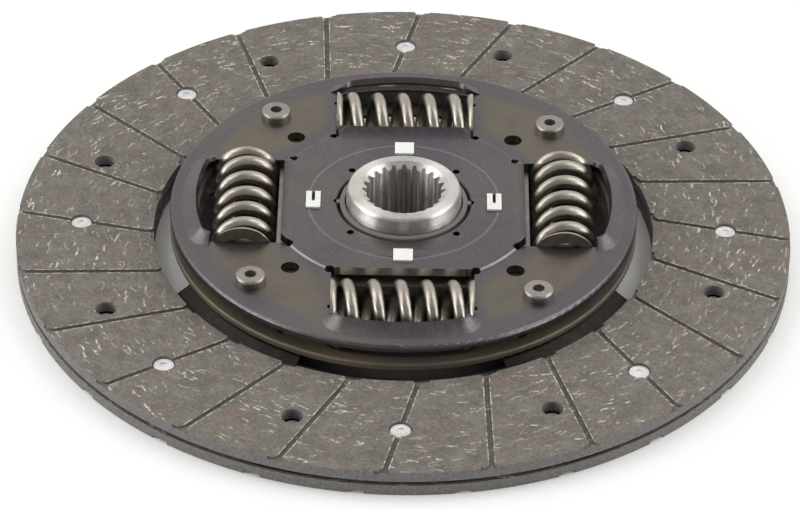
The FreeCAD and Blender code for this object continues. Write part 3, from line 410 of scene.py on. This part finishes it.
@dataclass(frozen=True)
class SheetSteel(Finish):
    """Steel sheet or wire with a thin oxide or phosphate skin."""

    metallic: float = 1.0
    skin: str = "#6E6A66"
    tint: str = "#5F5C66"
    tint_mm: float = 30.0
    grain_mm: float = 0.6
    grain_span: Pair = (0.86, 1.14)
    rough_grains: float = 5.0
    rough_swing: float = 0.07
    dent_grains: float = 0.7
    bump_strength: float = 0.35
    bump_mm: float = 0.02

    def paint(self, tree: Tree, shader: Node) -> None:
        """Give the sheet its slow tints and its fine grain.

        Args:
            tree: Tree of the material.
            shader: Its surface shader.
        """
        where = self.millimetres(tree)
        slow = self.grain(tree, where, self.tint_mm, FULL, detail=2.0)
        tone = add(tree, MIX, {0: slow, 6: linear(self.skin), 7: linear(self.tint)},
                   data_type="RGBA").outputs[2]
        speck = self.grain(tree, where, self.grain_mm, self.grain_span)
        colour = add(tree, VECTOR_MATH, {0: tone, "Scale": speck}, operation="SCALE").outputs[0]
        tree.links.new(colour, shader.inputs["Base Color"])
        swing = (self.roughness - self.rough_swing, self.roughness + self.rough_swing)
        rough = self.grain(tree, where, self.grain_mm * self.rough_grains, swing)
        tree.links.new(rough, shader.inputs["Roughness"])
        dents = self.grain(tree, where, self.grain_mm * self.dent_grains, FULL)
        bump = add(tree, BUMP, {"Strength": self.bump_strength, "Distance": self.bump_mm * MM,
                                "Height": dents}).outputs[0]
        tree.links.new(bump, shader.inputs["Normal"])


@dataclass(frozen=True)
class TintedPlate(SheetSteel):
    """Phosphated plate, olive in the quarters between the windows and violet where pressed."""

    quarter: str = "#726B5E"
    inner_mm: float = 44.0
    outer_mm: float = 66.0
    window_mm: float = 22.0
    fade_mm: float = 5.0
    rim_fade_mm: float = 3.0
    uneven_mm: float = 9.0
    uneven_span: Pair = (0.35, 1.0)
    # Painted highlights: pale lines along the two pressed steps of the plate
    step_highlights_mm: tuple[float, ...] = (29.6, 41.4)
    step_highlight: str = "#A8A4A2"
    step_highlight_span_mm: Pair = (0.1, 0.5)
    step_highlight_share: float = 0.3
    # Painted highlight on the steep sides of the inner lips, which would otherwise render dark
    lip_highlight: str = "#BDB8B0"
    lip_highlight_span_mm: Pair = (33.0, 47.0)
    lip_highlight_half_mm: float = 19.0
    lip_highlight_tilt: Pair = (0.45, 0.65)

    def quarters(self, tree: Tree, where: Socket, least: Socket, radius: Socket) -> Socket:
        """Find the flat quarters between the windows.

        Args:
            tree: Tree of the material.
            where: Coordinates in millimetres.
            least: Distance from the nearer of the two window axes.
            radius: Distance from the hub axis.

        Returns:
            Up to 1 in a quarter and 0 outside it.
        """
        beside = add(tree, RANGE, {0: least, 1: self.window_mm,
                                   2: self.window_mm + self.fade_mm}).outputs[0]
        inside = add(tree, RANGE, {0: radius, 1: self.inner_mm,
                                   2: self.inner_mm + self.fade_mm}).outputs[0]
        outside = add(tree, RANGE, {0: radius, 1: self.outer_mm - self.rim_fade_mm,
                                    2: self.outer_mm, 3: 1.0, 4: 0.0}).outputs[0]
        ring = add(tree, MATH, {0: inside, 1: outside}, operation="MULTIPLY").outputs[0]
        flat = add(tree, MATH, {0: ring, 1: beside}, operation="MULTIPLY").outputs[0]
        uneven = self.grain(tree, where, self.uneven_mm, self.uneven_span)
        return add(tree, MATH, {0: flat, 1: uneven}, operation="MULTIPLY").outputs[0]

    def painted_lip_highlights(self, tree: Tree, least: Socket, radius: Socket) -> Socket:
        """Find the steep sides of the windows' inner lips, which get a painted highlight.

        Args:
            tree: Tree of the material.
            least: Distance from the nearer of the two window axes.
            radius: Distance from the hub axis.

        Returns:
            1 on the steep side of an inner lip and 0 elsewhere.
        """
        steep = add(tree, RANGE, {0: self.flatness(tree), 1: self.lip_highlight_tilt[0],
                                  2: self.lip_highlight_tilt[1], 3: 1.0, 4: 0.0}).outputs[0]
        near = add(tree, MATH, {0: radius, 1: self.lip_highlight_span_mm[1]},
                   operation="LESS_THAN").outputs[0]
        beside = add(tree, MATH, {0: least, 1: self.lip_highlight_half_mm},
                     operation="LESS_THAN").outputs[0]
        outer = add(tree, MATH, {0: radius, 1: self.lip_highlight_span_mm[0]},
                    operation="GREATER_THAN").outputs[0]
        lip = add(tree, MATH, {0: beside, 1: outer}, operation="MULTIPLY").outputs[0]
        inner_lip = add(tree, MATH, {0: near, 1: lip}, operation="MULTIPLY").outputs[0]
        return add(tree, MATH, {0: steep, 1: inner_lip}, operation="MULTIPLY").outputs[0]

    def paint(self, tree: Tree, shader: Node) -> None:
        """Add the quarters' tint, painted highlights along the pressed steps and on the inner
        lips to the sheet's own look.

        Args:
            tree: Tree of the material.
            shader: Its surface shader.
        """
        super().paint(tree, shader)
        where = self.millimetres(tree)
        seat = add(tree, SEPARATE, {0: where}).outputs
        side_x = add(tree, MATH, {0: seat[0]}, operation="ABSOLUTE").outputs[0]
        side_y = add(tree, MATH, {0: seat[1]}, operation="ABSOLUTE").outputs[0]
        least = add(tree, MATH, {0: side_x, 1: side_y}, operation="MINIMUM").outputs[0]
        radius = self.radius(tree, where)
        sheet = shader.inputs["Base Color"].links[0].from_socket
        share = self.quarters(tree, where, least, radius)
        tinted = add(tree, MIX, {0: share, 6: sheet, 7: linear(self.quarter)},
                     data_type="RGBA").outputs[2]
        # Painted highlights along the pressed steps
        for step_radius_mm in self.step_highlights_mm:
            off = add(tree, MATH, {0: radius, 1: step_radius_mm}, operation="SUBTRACT").outputs[0]
            near = add(tree, MATH, {0: off}, operation="ABSOLUTE").outputs[0]
            line = add(tree, RANGE, {0: near, 1: self.step_highlight_span_mm[0], 2: self.step_highlight_span_mm[1],
                                     3: self.step_highlight_share, 4: 0.0}).outputs[0]
            tinted = add(tree, MIX, {0: line, 6: tinted, 7: linear(self.step_highlight)},
                         data_type="RGBA").outputs[2]
        # Painted highlight on the steep sides of the inner lips
        lip_light = self.painted_lip_highlights(tree, least, radius)
        tinted = add(tree, MIX, {0: lip_light, 6: tinted, 7: linear(self.lip_highlight)},
                     data_type="RGBA").outputs[2]
        tree.links.new(tinted, shader.inputs["Base Color"])


@dataclass(frozen=True)
class TurnedSteel(SheetSteel):
    """Steel turned on a lathe, whose fine rings spread the light along the axis and outwards."""

    spread: float = 0.96
    quarter_turn: float = 0.25

    def paint(self, tree: Tree, shader: Node) -> None:
        """Add the turning direction to the sheet's own look.

        Args:
            tree: Tree of the material.
            shader: Its surface shader.
        """
        super().paint(tree, shader)
        round_axis = add(tree, "ShaderNodeTangent", direction_type="RADIAL", axis="Z")
        tree.links.new(round_axis.outputs[0], shader.inputs["Tangent"])
        shader.inputs["Anisotropic"].default_value = self.spread
        shader.inputs["Anisotropic Rotation"].default_value = self.quarter_turn


@dataclass(frozen=True)
class Polymer(Finish):
    """Moulded polyamide with a fine matte skin."""

    colour: str = "#EDEDEA"
    speck_mm: float = 1.2
    speck_span: Pair = (0.93, 1.05)
    pore_mm: float = 0.4
    bump_strength: float = 0.3
    bump_mm: float = 0.02

    def paint(self, tree: Tree, shader: Node) -> None:
        """Give the moulding a faint unevenness.

        Args:
            tree: Tree of the material.
            shader: Its surface shader.
        """
        where = self.millimetres(tree)
        speck = self.grain(tree, where, self.speck_mm, self.speck_span)
        colour = add(tree, VECTOR_MATH, {0: linear(self.colour)[:3], "Scale": speck},
                     operation="SCALE").outputs[0]
        tree.links.new(colour, shader.inputs["Base Color"])
        pores = self.grain(tree, where, self.pore_mm, FULL)
        bump = add(tree, BUMP, {"Strength": self.bump_strength, "Distance": self.bump_mm * MM,
                                "Height": pores}).outputs[0]
        tree.links.new(bump, shader.inputs["Normal"])


@dataclass(frozen=True)
class Paper(Finish):
    """White paper table top with a painted shadow under the damper, bleached towards white in the
    picture and in reflections.
    """

    colour: str = "#FCFDFC"
    # Painted shadow: the colour of the paper under the damper
    under: str = "#3A3835"
    painted_shadow_mm: float = 66.5
    painted_shadow_fade_mm: float = 3.0
    speck_mm: float = 60.0
    speck_span: Pair = (0.99, 1.0)
    white: str = "#FDFFFC"
    bleach: float = 0.6
    shade_mm: float = 117.0
    shade_fade_mm: float = 12.0

    def paint(self, tree: Tree, shader: Node) -> None:
        """Give the table a faint tone and a painted shadow under the damper, and lift it outside
        the disc for camera and gloss.

        Args:
            tree: Tree of the material.
            shader: Its surface shader.
        """
        where = self.millimetres(tree)
        radius = self.radius(tree, where)
        # Painted shadow: the paper darkens under the damper, where little light reaches it
        outside_painted_shadow = add(tree, RANGE, {0: radius, 1: self.painted_shadow_mm,
                                       2: self.painted_shadow_mm + self.painted_shadow_fade_mm}).outputs[0]
        tone = add(tree, MIX, {0: outside_painted_shadow, 6: linear(self.under), 7: linear(self.colour)},
                   data_type="RGBA").outputs[2]
        speck = self.grain(tree, where, self.speck_mm, self.speck_span)
        colour = add(tree, VECTOR_MATH, {0: tone, "Scale": speck}, operation="SCALE").outputs[0]
        tree.links.new(colour, shader.inputs["Base Color"])

        rays = add(tree, "ShaderNodeLightPath").outputs
        seen = add(tree, MATH, {0: rays["Is Camera Ray"], 1: rays["Is Glossy Ray"]},
                   operation="MAXIMUM").outputs[0]
        shown = add(tree, MATH, {0: seen, 1: rays["Is Transmission Ray"]},
                    operation="MAXIMUM").outputs[0]
        lift = add(tree, RANGE, {0: radius, 1: self.shade_mm,
                                 2: self.shade_mm + self.shade_fade_mm,
                                 3: 0.0, 4: self.bleach}).outputs[0]
        share = add(tree, MATH, {0: shown, 1: lift}, operation="MULTIPLY").outputs[0]
        white = add(tree, "ShaderNodeEmission", {"Color": linear(self.white), "Strength": 1.0})
        mixed = add(tree, "ShaderNodeMixShader",
                    {0: share, 1: shader.outputs[0], 2: white.outputs[0]})
        out = next(node for node in tree.nodes if node.type == "OUTPUT_MATERIAL")
        tree.links.new(mixed.outputs[0], out.inputs["Surface"])


class Finishes(Enum):
    """Finishes of the clutch disc, one for each kind of surface."""

    # Moulded from resin and chopped glass yarn, then ground: a dull brown grey with pale, broken
    # threads and slow red and green clouds. Threads are drawn about twice as wide as real ones,
    # so that they show.
    LINING = FibreLining("moulded and ground friction lining", roughness=0.85)
    # Clinched from light alloy wire: the palest metal here, a white dot that marks each fixing.
    RIVET = SheetSteel("clinched alloy rivet", roughness=0.35, metallic=0.45,
                       skin="#E2E2E2", tint="#CBCBCC", tint_mm=4.0, grain_mm=0.5)
    # Cold rolled and blued by tempering: a dark steel, painted nearly black as shade, so the gap
    # under the ring reads as deep.
    CUSHION = SheetSteel("tempered cushion steel", roughness=0.4,
                         skin="#292624", tint="#201E1C")
    # Pressed and phosphated: a violet grey with olive quarters, thin painted highlights along the
    # pressed steps and a painted highlight on the steep sides of the inner lips.
    RETAINER = TintedPlate("pressed and phosphated plate", roughness=0.36,
                           skin="#6C6866", tint="#5F5B62")
    # Pressed and left to oxidise in store: a rough brown edge that takes little light.
    CARRIER = SheetSteel("oxidised pressed plate", roughness=0.6, metallic=0.4,
                         skin="#736856", tint="#564F48")
    # Blanked and hardened without a coating: a plain light grey edge between darker plates.
    FLANGE = SheetSteel("blanked and hardened flange", roughness=0.5,
                        skin="#A29E99", tint="#8D8984")
    # Cold headed and tumbled: soft, silky edges round a dark dimple.
    PIN = SheetSteel("tumbled stop pin", roughness=0.4,
                     skin="#A09C97", tint="#8F8A84", tint_mm=8.0)
    # Turned on a lathe: fine rings pull the lamps into bright fans left and right of a darker
    # front. The rings are too fine to draw, so the stretched highlight stands for them.
    HUB = TurnedSteel("turned hub steel", roughness=0.37, skin="#DAD8D4", tint="#CBC8C3",
                      tint_mm=10.0, grain_mm=0.4, bump_mm=0.005)
    # Drawn, coiled and shot peened: a satin grey with long soft highlights along each coil. The
    # dents are drawn at about a third of a millimetre, coarser than real ones, so that they show.
    WIRE = SheetSteel("shot peened spring wire", roughness=0.35, skin="#B2ACA3",
                      tint="#9F988E", tint_mm=7.0, grain_mm=0.5, bump_mm=0.012)
    # Injection moulded with a dark filler: an even, slightly waxy grey.
    GREY_BUSH = Polymer("moulded filled polyamide", roughness=0.5, ior=1.53, colour="#6F6D6C")
    # Injection moulded without colour: small white flags that stand out from the dark plate.
    WHITE_TAB = Polymer("moulded natural polyamide", roughness=0.45, ior=1.53, colour="#E9E9E6")
    # Smooth white paper with a painted shadow under the damper: the ring stands on clean white
    # with its own soft shadow.
    TABLE = Paper("white paper", roughness=0.9)


NODE_FINISH = {
    "facing_gearbox_side": Finishes.LINING,
    "facing_flywheel_side": Finishes.LINING,
    "facing_rivets_gearbox": Finishes.RIVET,
    "facing_rivets_flywheel": Finishes.RIVET,
    "cushion_disc": Finishes.CUSHION,
    "retainer_plate": Finishes.RETAINER,
    "carrier_plate": Finishes.CARRIER,
    "hub_flange": Finishes.FLANGE,
    "arm_rivets": Finishes.PIN,
    "hub": Finishes.HUB,
    "gearbox_bush": Finishes.GREY_BUSH,
    "flywheel_bush": Finishes.GREY_BUSH,
    "friction_ring": Finishes.GREY_BUSH,
    "tab_ring": Finishes.WHITE_TAB,
    "support_ring": Finishes.CUSHION,
    "diaphragm_spring": Finishes.CUSHION,
}
NODE_FINISH.update({f"stop_pin_{k}": Finishes.PIN for k in (1, 2, 3, 4)})
NODE_FINISH.update({f"damper_spring_{k}": Finishes.WIRE for k in (1, 2, 3, 4)})
NODE_FINISH.update({f"idle_spring_{k}": Finishes.WIRE for k in (1, 2)})


class Workshop:
    """Makes each finish once, and dresses pieces with it."""

    def __init__(self) -> None:
        """Start with no materials made."""
        self.made: dict[Finishes, bpy.types.Material] = {}

    def material(self, finish: Finishes) -> bpy.types.Material:
        """Get the material of a finish, made at its first use.

        Args:
            finish: The finish to show.

        Returns:
            Its one material.
        """
        if finish not in self.made:
            self.made[finish] = finish.value.material()
        return self.made[finish]

    def dress(self, thing: bpy.types.Object, finish: Finishes) -> None:
        """Put a finish on every slot of a thing.

        Args:
            thing: Mesh object, a CAD node or a new piece.
            finish: The finish to show.
        """
        material = self.material(finish)
        if thing.material_slots:
            for slot in thing.material_slots:
                slot.material = material
        else:
            thing.data.materials.append(material)


def bake(name: str, tree: Tree, values: dict[str, Any]) -> bpy.types.Object:
    """Run a Geometry Nodes tree and keep its result as a plain mesh.

    Args:
        name: Name of the new piece.
        tree: The Geometry Nodes tree.
        values: Value of each named input.

    Returns:
        An object at the origin with the finished mesh and no modifier.
    """
    holder = bpy.data.objects.new(name + ".holder", bpy.data.meshes.new(name + ".holder"))
    bpy.context.scene.collection.objects.link(holder)
    modifier = holder.modifiers.new("nodes", "NODES")
    modifier.node_group = tree
    for item in tree.interface.items_tree:
        if item.item_type == "SOCKET" and item.in_out == "INPUT" and item.name in values:
            modifier[item.identifier] = values[item.name]
    seen = holder.evaluated_get(bpy.context.evaluated_depsgraph_get())
    mesh = bpy.data.meshes.new_from_object(seen)
    holder.modifiers.remove(modifier)
    bpy.data.objects.remove(holder)
    mesh.name = name
    piece = bpy.data.objects.new(name, mesh)
    bpy.context.scene.collection.objects.link(piece)
    return piece


@dataclass
class DamperSprings:
    """The four coil springs of the damper, with closed and ground ends."""

    shop: Workshop
    circle: float = 49.3 * MM
    height: float = 12.45 * MM
    length: float = 43.2 * MM
    outer: float = 9.9 * MM
    wire: float = 3.9 * MM
    turns: float = 6.5
    tip_share: float = 0.2
    close_share: float = 0.82
    end_halves: float = 2.0
    ease: float = 0.5
    crease: float = 0.5
    steps: int = 48
    sides: int = 32
    count: int = 4
    keep: float = 0.7

    def rise(self, tree: Tree, given: Any, wound: Socket) -> Socket:
        """Work out how far along the spring each point of the wire lies.

        It counts half turns from the spring's middle: open, then closing, then flat.

        Args:
            tree: Tree of the spring.
            given: Sockets of the named inputs.
            wound: Turns from the start of the wire.

        Returns:
            Distance from the spring's middle.
        """
        middle = add(tree, MATH, {0: given["Turns"], 1: -1.0}, operation="MULTIPLY").outputs[0]
        away = add(tree, MATH, {0: wound, 1: 2.0, 2: middle},
                   operation="MULTIPLY_ADD").outputs[0]
        apart = add(tree, MATH, {0: away}, operation="ABSOLUTE").outputs[0]
        bend = add(tree, MATH, {0: given["Turns"], 1: self.end_halves},
                   operation="SUBTRACT").outputs[0]
        past = add(tree, MATH, {0: apart, 1: bend}, operation="SUBTRACT").outputs[0]
        closing = add(tree, MATH, {0: past, 1: 0.0, 2: self.ease},
                      operation="SMOOTH_MAX").outputs[0]
        beyond = add(tree, MATH, {0: past, 1: self.end_halves / 2},
                     operation="SUBTRACT").outputs[0]
        ending = add(tree, MATH, {0: beyond, 1: 0.0, 2: self.ease},
                     operation="SMOOTH_MAX").outputs[0]
        slack = add(tree, MATH, {0: given["Close rise"], 1: given["Open rise"]},
                    operation="SUBTRACT").outputs[0]
        tighter = add(tree, MATH, {0: given["Tip rise"], 1: given["Close rise"]},
                      operation="SUBTRACT").outputs[0]
        full = add(tree, MATH, {0: apart, 1: given["Open rise"]},
                   operation="MULTIPLY").outputs[0]
        eased = add(tree, MATH, {0: closing, 1: slack, 2: full},
                    operation="MULTIPLY_ADD").outputs[0]
        risen = add(tree, MATH, {0: ending, 1: tighter, 2: eased},
                    operation="MULTIPLY_ADD").outputs[0]
        sign = add(tree, MATH, {0: away}, operation="SIGN").outputs[0]
        return add(tree, MATH, {0: risen, 1: sign}, operation="MULTIPLY").outputs[0]

    def wind(self, tree: Tree, given: Any) -> Socket:
        """Wind round wire along the Y axis, out on the spring circle.

        Args:
            tree: Tree of the spring.
            given: Sockets of the named inputs.

        Returns:
            The wire's closed surface.
        """
        points = add(tree, MATH, {0: given["Steps"], 1: given["Turns"], 2: 1.0},
                     operation="MULTIPLY_ADD").outputs[0]
        line = add(tree, "GeometryNodeMeshLine", {"Count": points}).outputs[0]
        index = add(tree, "GeometryNodeInputIndex").outputs[0]
        wound = add(tree, MATH, {0: index, 1: given["Steps"]}, operation="DIVIDE").outputs[0]
        angle = add(tree, MATH, {0: wound, 1: math.tau, 2: math.pi},
                    operation="MULTIPLY_ADD").outputs[0]
        along = self.rise(tree, given, wound)
        turn_x = add(tree, MATH, {0: angle}, operation="COSINE").outputs[0]
        turn_z = add(tree, MATH, {0: angle}, operation="SINE").outputs[0]
        out = add(tree, MATH, {0: turn_x, 1: given["Mean radius"], 2: given["Circle"]},
                  operation="MULTIPLY_ADD").outputs[0]
        down = add(tree, MATH, {0: turn_z, 1: given["Mean radius"]},
                   operation="MULTIPLY").outputs[0]
        up = add(tree, MATH, {0: given["Height"], 1: down}, operation="SUBTRACT").outputs[0]
        place = add(tree, COMBINE, {0: out, 1: along, 2: up}).outputs[0]
        path = add(tree, MOVE, {"Geometry": line, "Position": place}).outputs[0]
        curve = add(tree, "GeometryNodeMeshToCurve", {"Mesh": path}).outputs[0]
        thick = add(tree, MATH, {0: given["Wire"], 1: 0.5}, operation="MULTIPLY").outputs[0]
        ring = add(tree, "GeometryNodeCurvePrimitiveCircle",
                   {"Resolution": given["Sides"], "Radius": thick}).outputs[0]
        return add(tree, "GeometryNodeCurveToMesh",
                   {"Curve": curve, "Profile Curve": ring, "Fill Caps": True}).outputs[0]

    def grind(self, tree: Tree, given: Any, tube: Socket) -> Socket:
        """Grind both end turns flat, and leave their edges crisp.

        Args:
            tree: Tree of the spring.
            given: Sockets of the named inputs.
            tube: The wound wire.

        Returns:
            The spring with flat ends.
        """
        limit = add(tree, MATH, {0: given["Length"], 1: 0.5}, operation="MULTIPLY").outputs[0]
        under = add(tree, MATH, {0: limit, 1: -1.0}, operation="MULTIPLY").outputs[0]
        here = add(tree, "GeometryNodeInputPosition").outputs[0]
        now = add(tree, SEPARATE, {0: here}).outputs
        held = add(tree, "ShaderNodeClamp", {0: now[1], 1: under, 2: limit}).outputs[0]
        trimmed = add(tree, COMBINE, {0: now[0], 1: held, 2: now[2]}).outputs[0]
        flat = add(tree, MOVE, {"Geometry": tube, "Position": trimmed}).outputs[0]
        fold = add(tree, "GeometryNodeInputMeshEdgeAngle").outputs[0]
        sharp = add(tree, MATH, {0: fold, 1: self.crease}, operation="GREATER_THAN").outputs[0]
        soft = add(tree, SMOOTH, {0: flat}).outputs[0]
        return add(tree, SMOOTH, {0: soft, 1: sharp, 2: False}, domain="EDGE").outputs[0]

    def tree(self) -> Tree:
        """Build the tree of one spring.

        Returns:
            A tree that winds wire round a tangent of the spring circle.
        """
        tree = bpy.data.node_groups.new("coil spring", "GeometryNodeTree")
        kinds = {"Steps": "NodeSocketInt", "Sides": "NodeSocketInt",
                 "Finish": "NodeSocketMaterial"}
        for name in ("Turns", "Length", "Mean radius", "Wire", "Tip rise", "Close rise",
                     "Open rise", "Circle", "Height", "Steps", "Sides", "Window angle",
                     "Finish"):
            tree.interface.new_socket(name=name, in_out="INPUT",
                                      socket_type=kinds.get(name, "NodeSocketFloat"))
        tree.interface.new_socket(name="Spring", in_out="OUTPUT",
                                  socket_type="NodeSocketGeometry")
        given = add(tree, "NodeGroupInput").outputs
        ground = self.grind(tree, given, self.wind(tree, given))
        spin = add(tree, COMBINE, {2: given["Window angle"]}).outputs[0]
        placed = add(tree, "GeometryNodeTransform",
                     {"Geometry": ground, "Rotation": spin}).outputs[0]
        real = add(tree, "GeometryNodeRealizeInstances", {"Geometry": placed}).outputs[0]
        done = add(tree, "GeometryNodeSetMaterial",
                   {"Geometry": real, "Material": given["Finish"]}).outputs[0]
        add(tree, "NodeGroupOutput", {0: done})
        return tree

    def build(self) -> None:
        """Wind the springs, hang them on the disc and hide the imported springs."""
        tree = self.tree()
        tip = self.tip_share * self.wire
        close = self.close_share * self.wire
        open_halves = 2 * self.turns - 2 * self.end_halves
        opened = (self.length + tip - 2 * (tip + close)) / open_halves
        for number in range(self.count):
            angle = math.tau * number / self.count
            piece = bake(f"coil_{number + 1}", tree, {
                "Turns": self.turns, "Length": self.length,
                "Mean radius": self.outer - self.wire / 2, "Wire": self.wire,
                "Tip rise": tip, "Close rise": close, "Open rise": opened,
                "Circle": self.circle, "Height": self.height,
                "Steps": self.steps, "Sides": self.sides,
                "Window angle": angle, "Finish": self.shop.material(Finishes.WIRE)})
            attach(piece, Body.DISC.value)
            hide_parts(f"damper_spring_{number + 1}")
            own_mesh(piece)
            LOG.info("%s: %d faces", piece.name, len(piece.data.polygons))


@dataclass(frozen=True)
class SoftBox:
    """A rectangular lamp. A radiance of 1 makes its face white."""

    name: str
    place: Triple
    size: Pair
    radiance: float

    def hang(self, aim: Triple) -> None:
        """Hang the lamp and turn its face to the disc.

        Args:
            aim: The point that it faces.
        """
        data = bpy.data.lights.new(self.name, "AREA")
        data.shape = "RECTANGLE"
        data.size, data.size_y = self.size
        data.energy = self.radiance * math.pi * self.size[0] * self.size[1]
        box = bpy.data.objects.new(self.name, data)
        box.location = self.place
        way = Vector(aim) - Vector(self.place)
        box.rotation_euler = way.to_track_quat("-Z", "Y").to_euler()
        bpy.context.scene.collection.objects.link(box)


@dataclass
class Studio:
    """Pale table, plain soft light and the camera of the photograph."""

    shop: Workshop
    table: float = 3.0
    drop: float = -0.0002
    boxes: tuple[SoftBox, ...] = (
        SoftBox("left", (-0.75, 0.05, 0.65), (0.7, 0.9), 2.0),
        SoftBox("right", (0.75, 0.05, 0.65), (0.7, 0.9), 2.0),
        SoftBox("low left", (-0.8, -0.3, 0.24), (0.5, 0.22), 6.5),
        SoftBox("low right", (0.8, -0.3, 0.24), (0.5, 0.22), 4.5),
    )
    aim: Triple = (0, 0, 0.01)
    sky: float = 1.0
    zenith: float = 0.38
    dim: float = 0.34
    rear: Triple = (0.0, 0.86, 0.51)
    rear_span: Pair = (0.3, 0.85)
    front: Triple = (0.0, -0.96, 0.28)
    front_span: Pair = (0.3, 0.9)
    seen: str = "#FDFFFC"
    cast: str = "#FFFDFA"
    lens_mm: float = 191.57
    sensor_mm: float = 36.0
    nearest: float = 0.05
    eye: Vector = field(default_factory=lambda: Vector((-0.00092, -1.06450, 0.79301)))
    right: Vector = field(default_factory=lambda: Vector((0.99989, 0.00872, 0.01166)))
    up: Vector = field(default_factory=lambda: Vector((-0.01456, 0.59873, 0.80083)))

    def floor(self) -> None:
        """Lay the table under the disc."""
        half = self.table / 2
        corners = [(-half, -half, self.drop), (half, -half, self.drop),
                   (half, half, self.drop), (-half, half, self.drop)]
        mesh = bpy.data.meshes.new("table")
        mesh.from_pydata(corners, [], [(0, 1, 2, 3)])
        top = bpy.data.objects.new("table", mesh)
        bpy.context.scene.collection.objects.link(top)
        self.shop.dress(top, Finishes.TABLE)

    def world(self) -> None:
        """Light the room from above and behind, with a dim front and a white ground."""
        world = bpy.data.worlds.new("room")
        world.use_nodes = True
        tree = world.node_tree
        tree.nodes.clear()
        direction = add(tree, "ShaderNodeTexCoord").outputs["Generated"]
        behind = add(tree, VECTOR_MATH, {0: direction, 1: self.rear},
                     operation="DOT_PRODUCT").outputs["Value"]
        wall = add(tree, RANGE, {0: behind, 1: self.rear_span[0], 2: self.rear_span[1],
                                 3: 0.0, 4: self.sky - self.zenith},
                   interpolation_type="SMOOTHSTEP").outputs[0]
        ahead = add(tree, VECTOR_MATH, {0: direction, 1: self.front},
                    operation="DOT_PRODUCT").outputs["Value"]
        room = add(tree, RANGE, {0: ahead, 1: self.front_span[0], 2: self.front_span[1],
                                 3: self.zenith, 4: self.dim},
                   interpolation_type="SMOOTHSTEP").outputs[0]
        graded = add(tree, MATH, {0: wall, 1: room}, operation="ADD").outputs[0]
        rays = add(tree, "ShaderNodeLightPath").outputs
        level = add(tree, MIX, {0: rays["Is Camera Ray"], 2: graded, 3: 1.0}).outputs[0]
        tone = add(tree, MIX, {0: rays["Is Camera Ray"], 6: linear(self.cast),
                               7: linear(self.seen)}, data_type="RGBA").outputs[2]
        light = add(tree, "ShaderNodeBackground", {"Color": tone, "Strength": level})
        add(tree, "ShaderNodeOutputWorld", {"Surface": light.outputs[0]})
        bpy.context.scene.world = world

    def camera(self) -> None:
        """Set the camera that was fitted to the photograph."""
        data = bpy.data.cameras.new("camera")
        data.lens = self.lens_mm
        data.sensor_width = self.sensor_mm
        data.clip_start = self.nearest
        view = bpy.data.objects.new("camera", data)
        back = self.right.cross(self.up).normalized()
        turn = Matrix((self.right, self.up, back)).transposed().to_4x4()
        view.matrix_world = Matrix.Translation(self.eye) @ turn
        bpy.context.scene.collection.objects.link(view)
        bpy.context.scene.camera = view

    def build(self) -> None:
        """Set up table, light and camera."""
        self.floor()
        for box in self.boxes:
            box.hang(self.aim)
        self.world()
        self.camera()
        bpy.context.scene.view_settings.view_transform = "Standard"


def main() -> None:
    """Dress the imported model, build the new pieces and light the scene."""
    logging.basicConfig(level=logging.INFO, format="%(name)s: %(message)s")
    shop = Workshop()
    for name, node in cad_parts.items():
        shop.dress(node, NODE_FINISH[name])
        LOG.info("%s: %s", name, NODE_FINISH[name].value.label)
    DamperSprings(shop).build()
    Studio(shop).build()


if __name__ == "__main__":
    main()
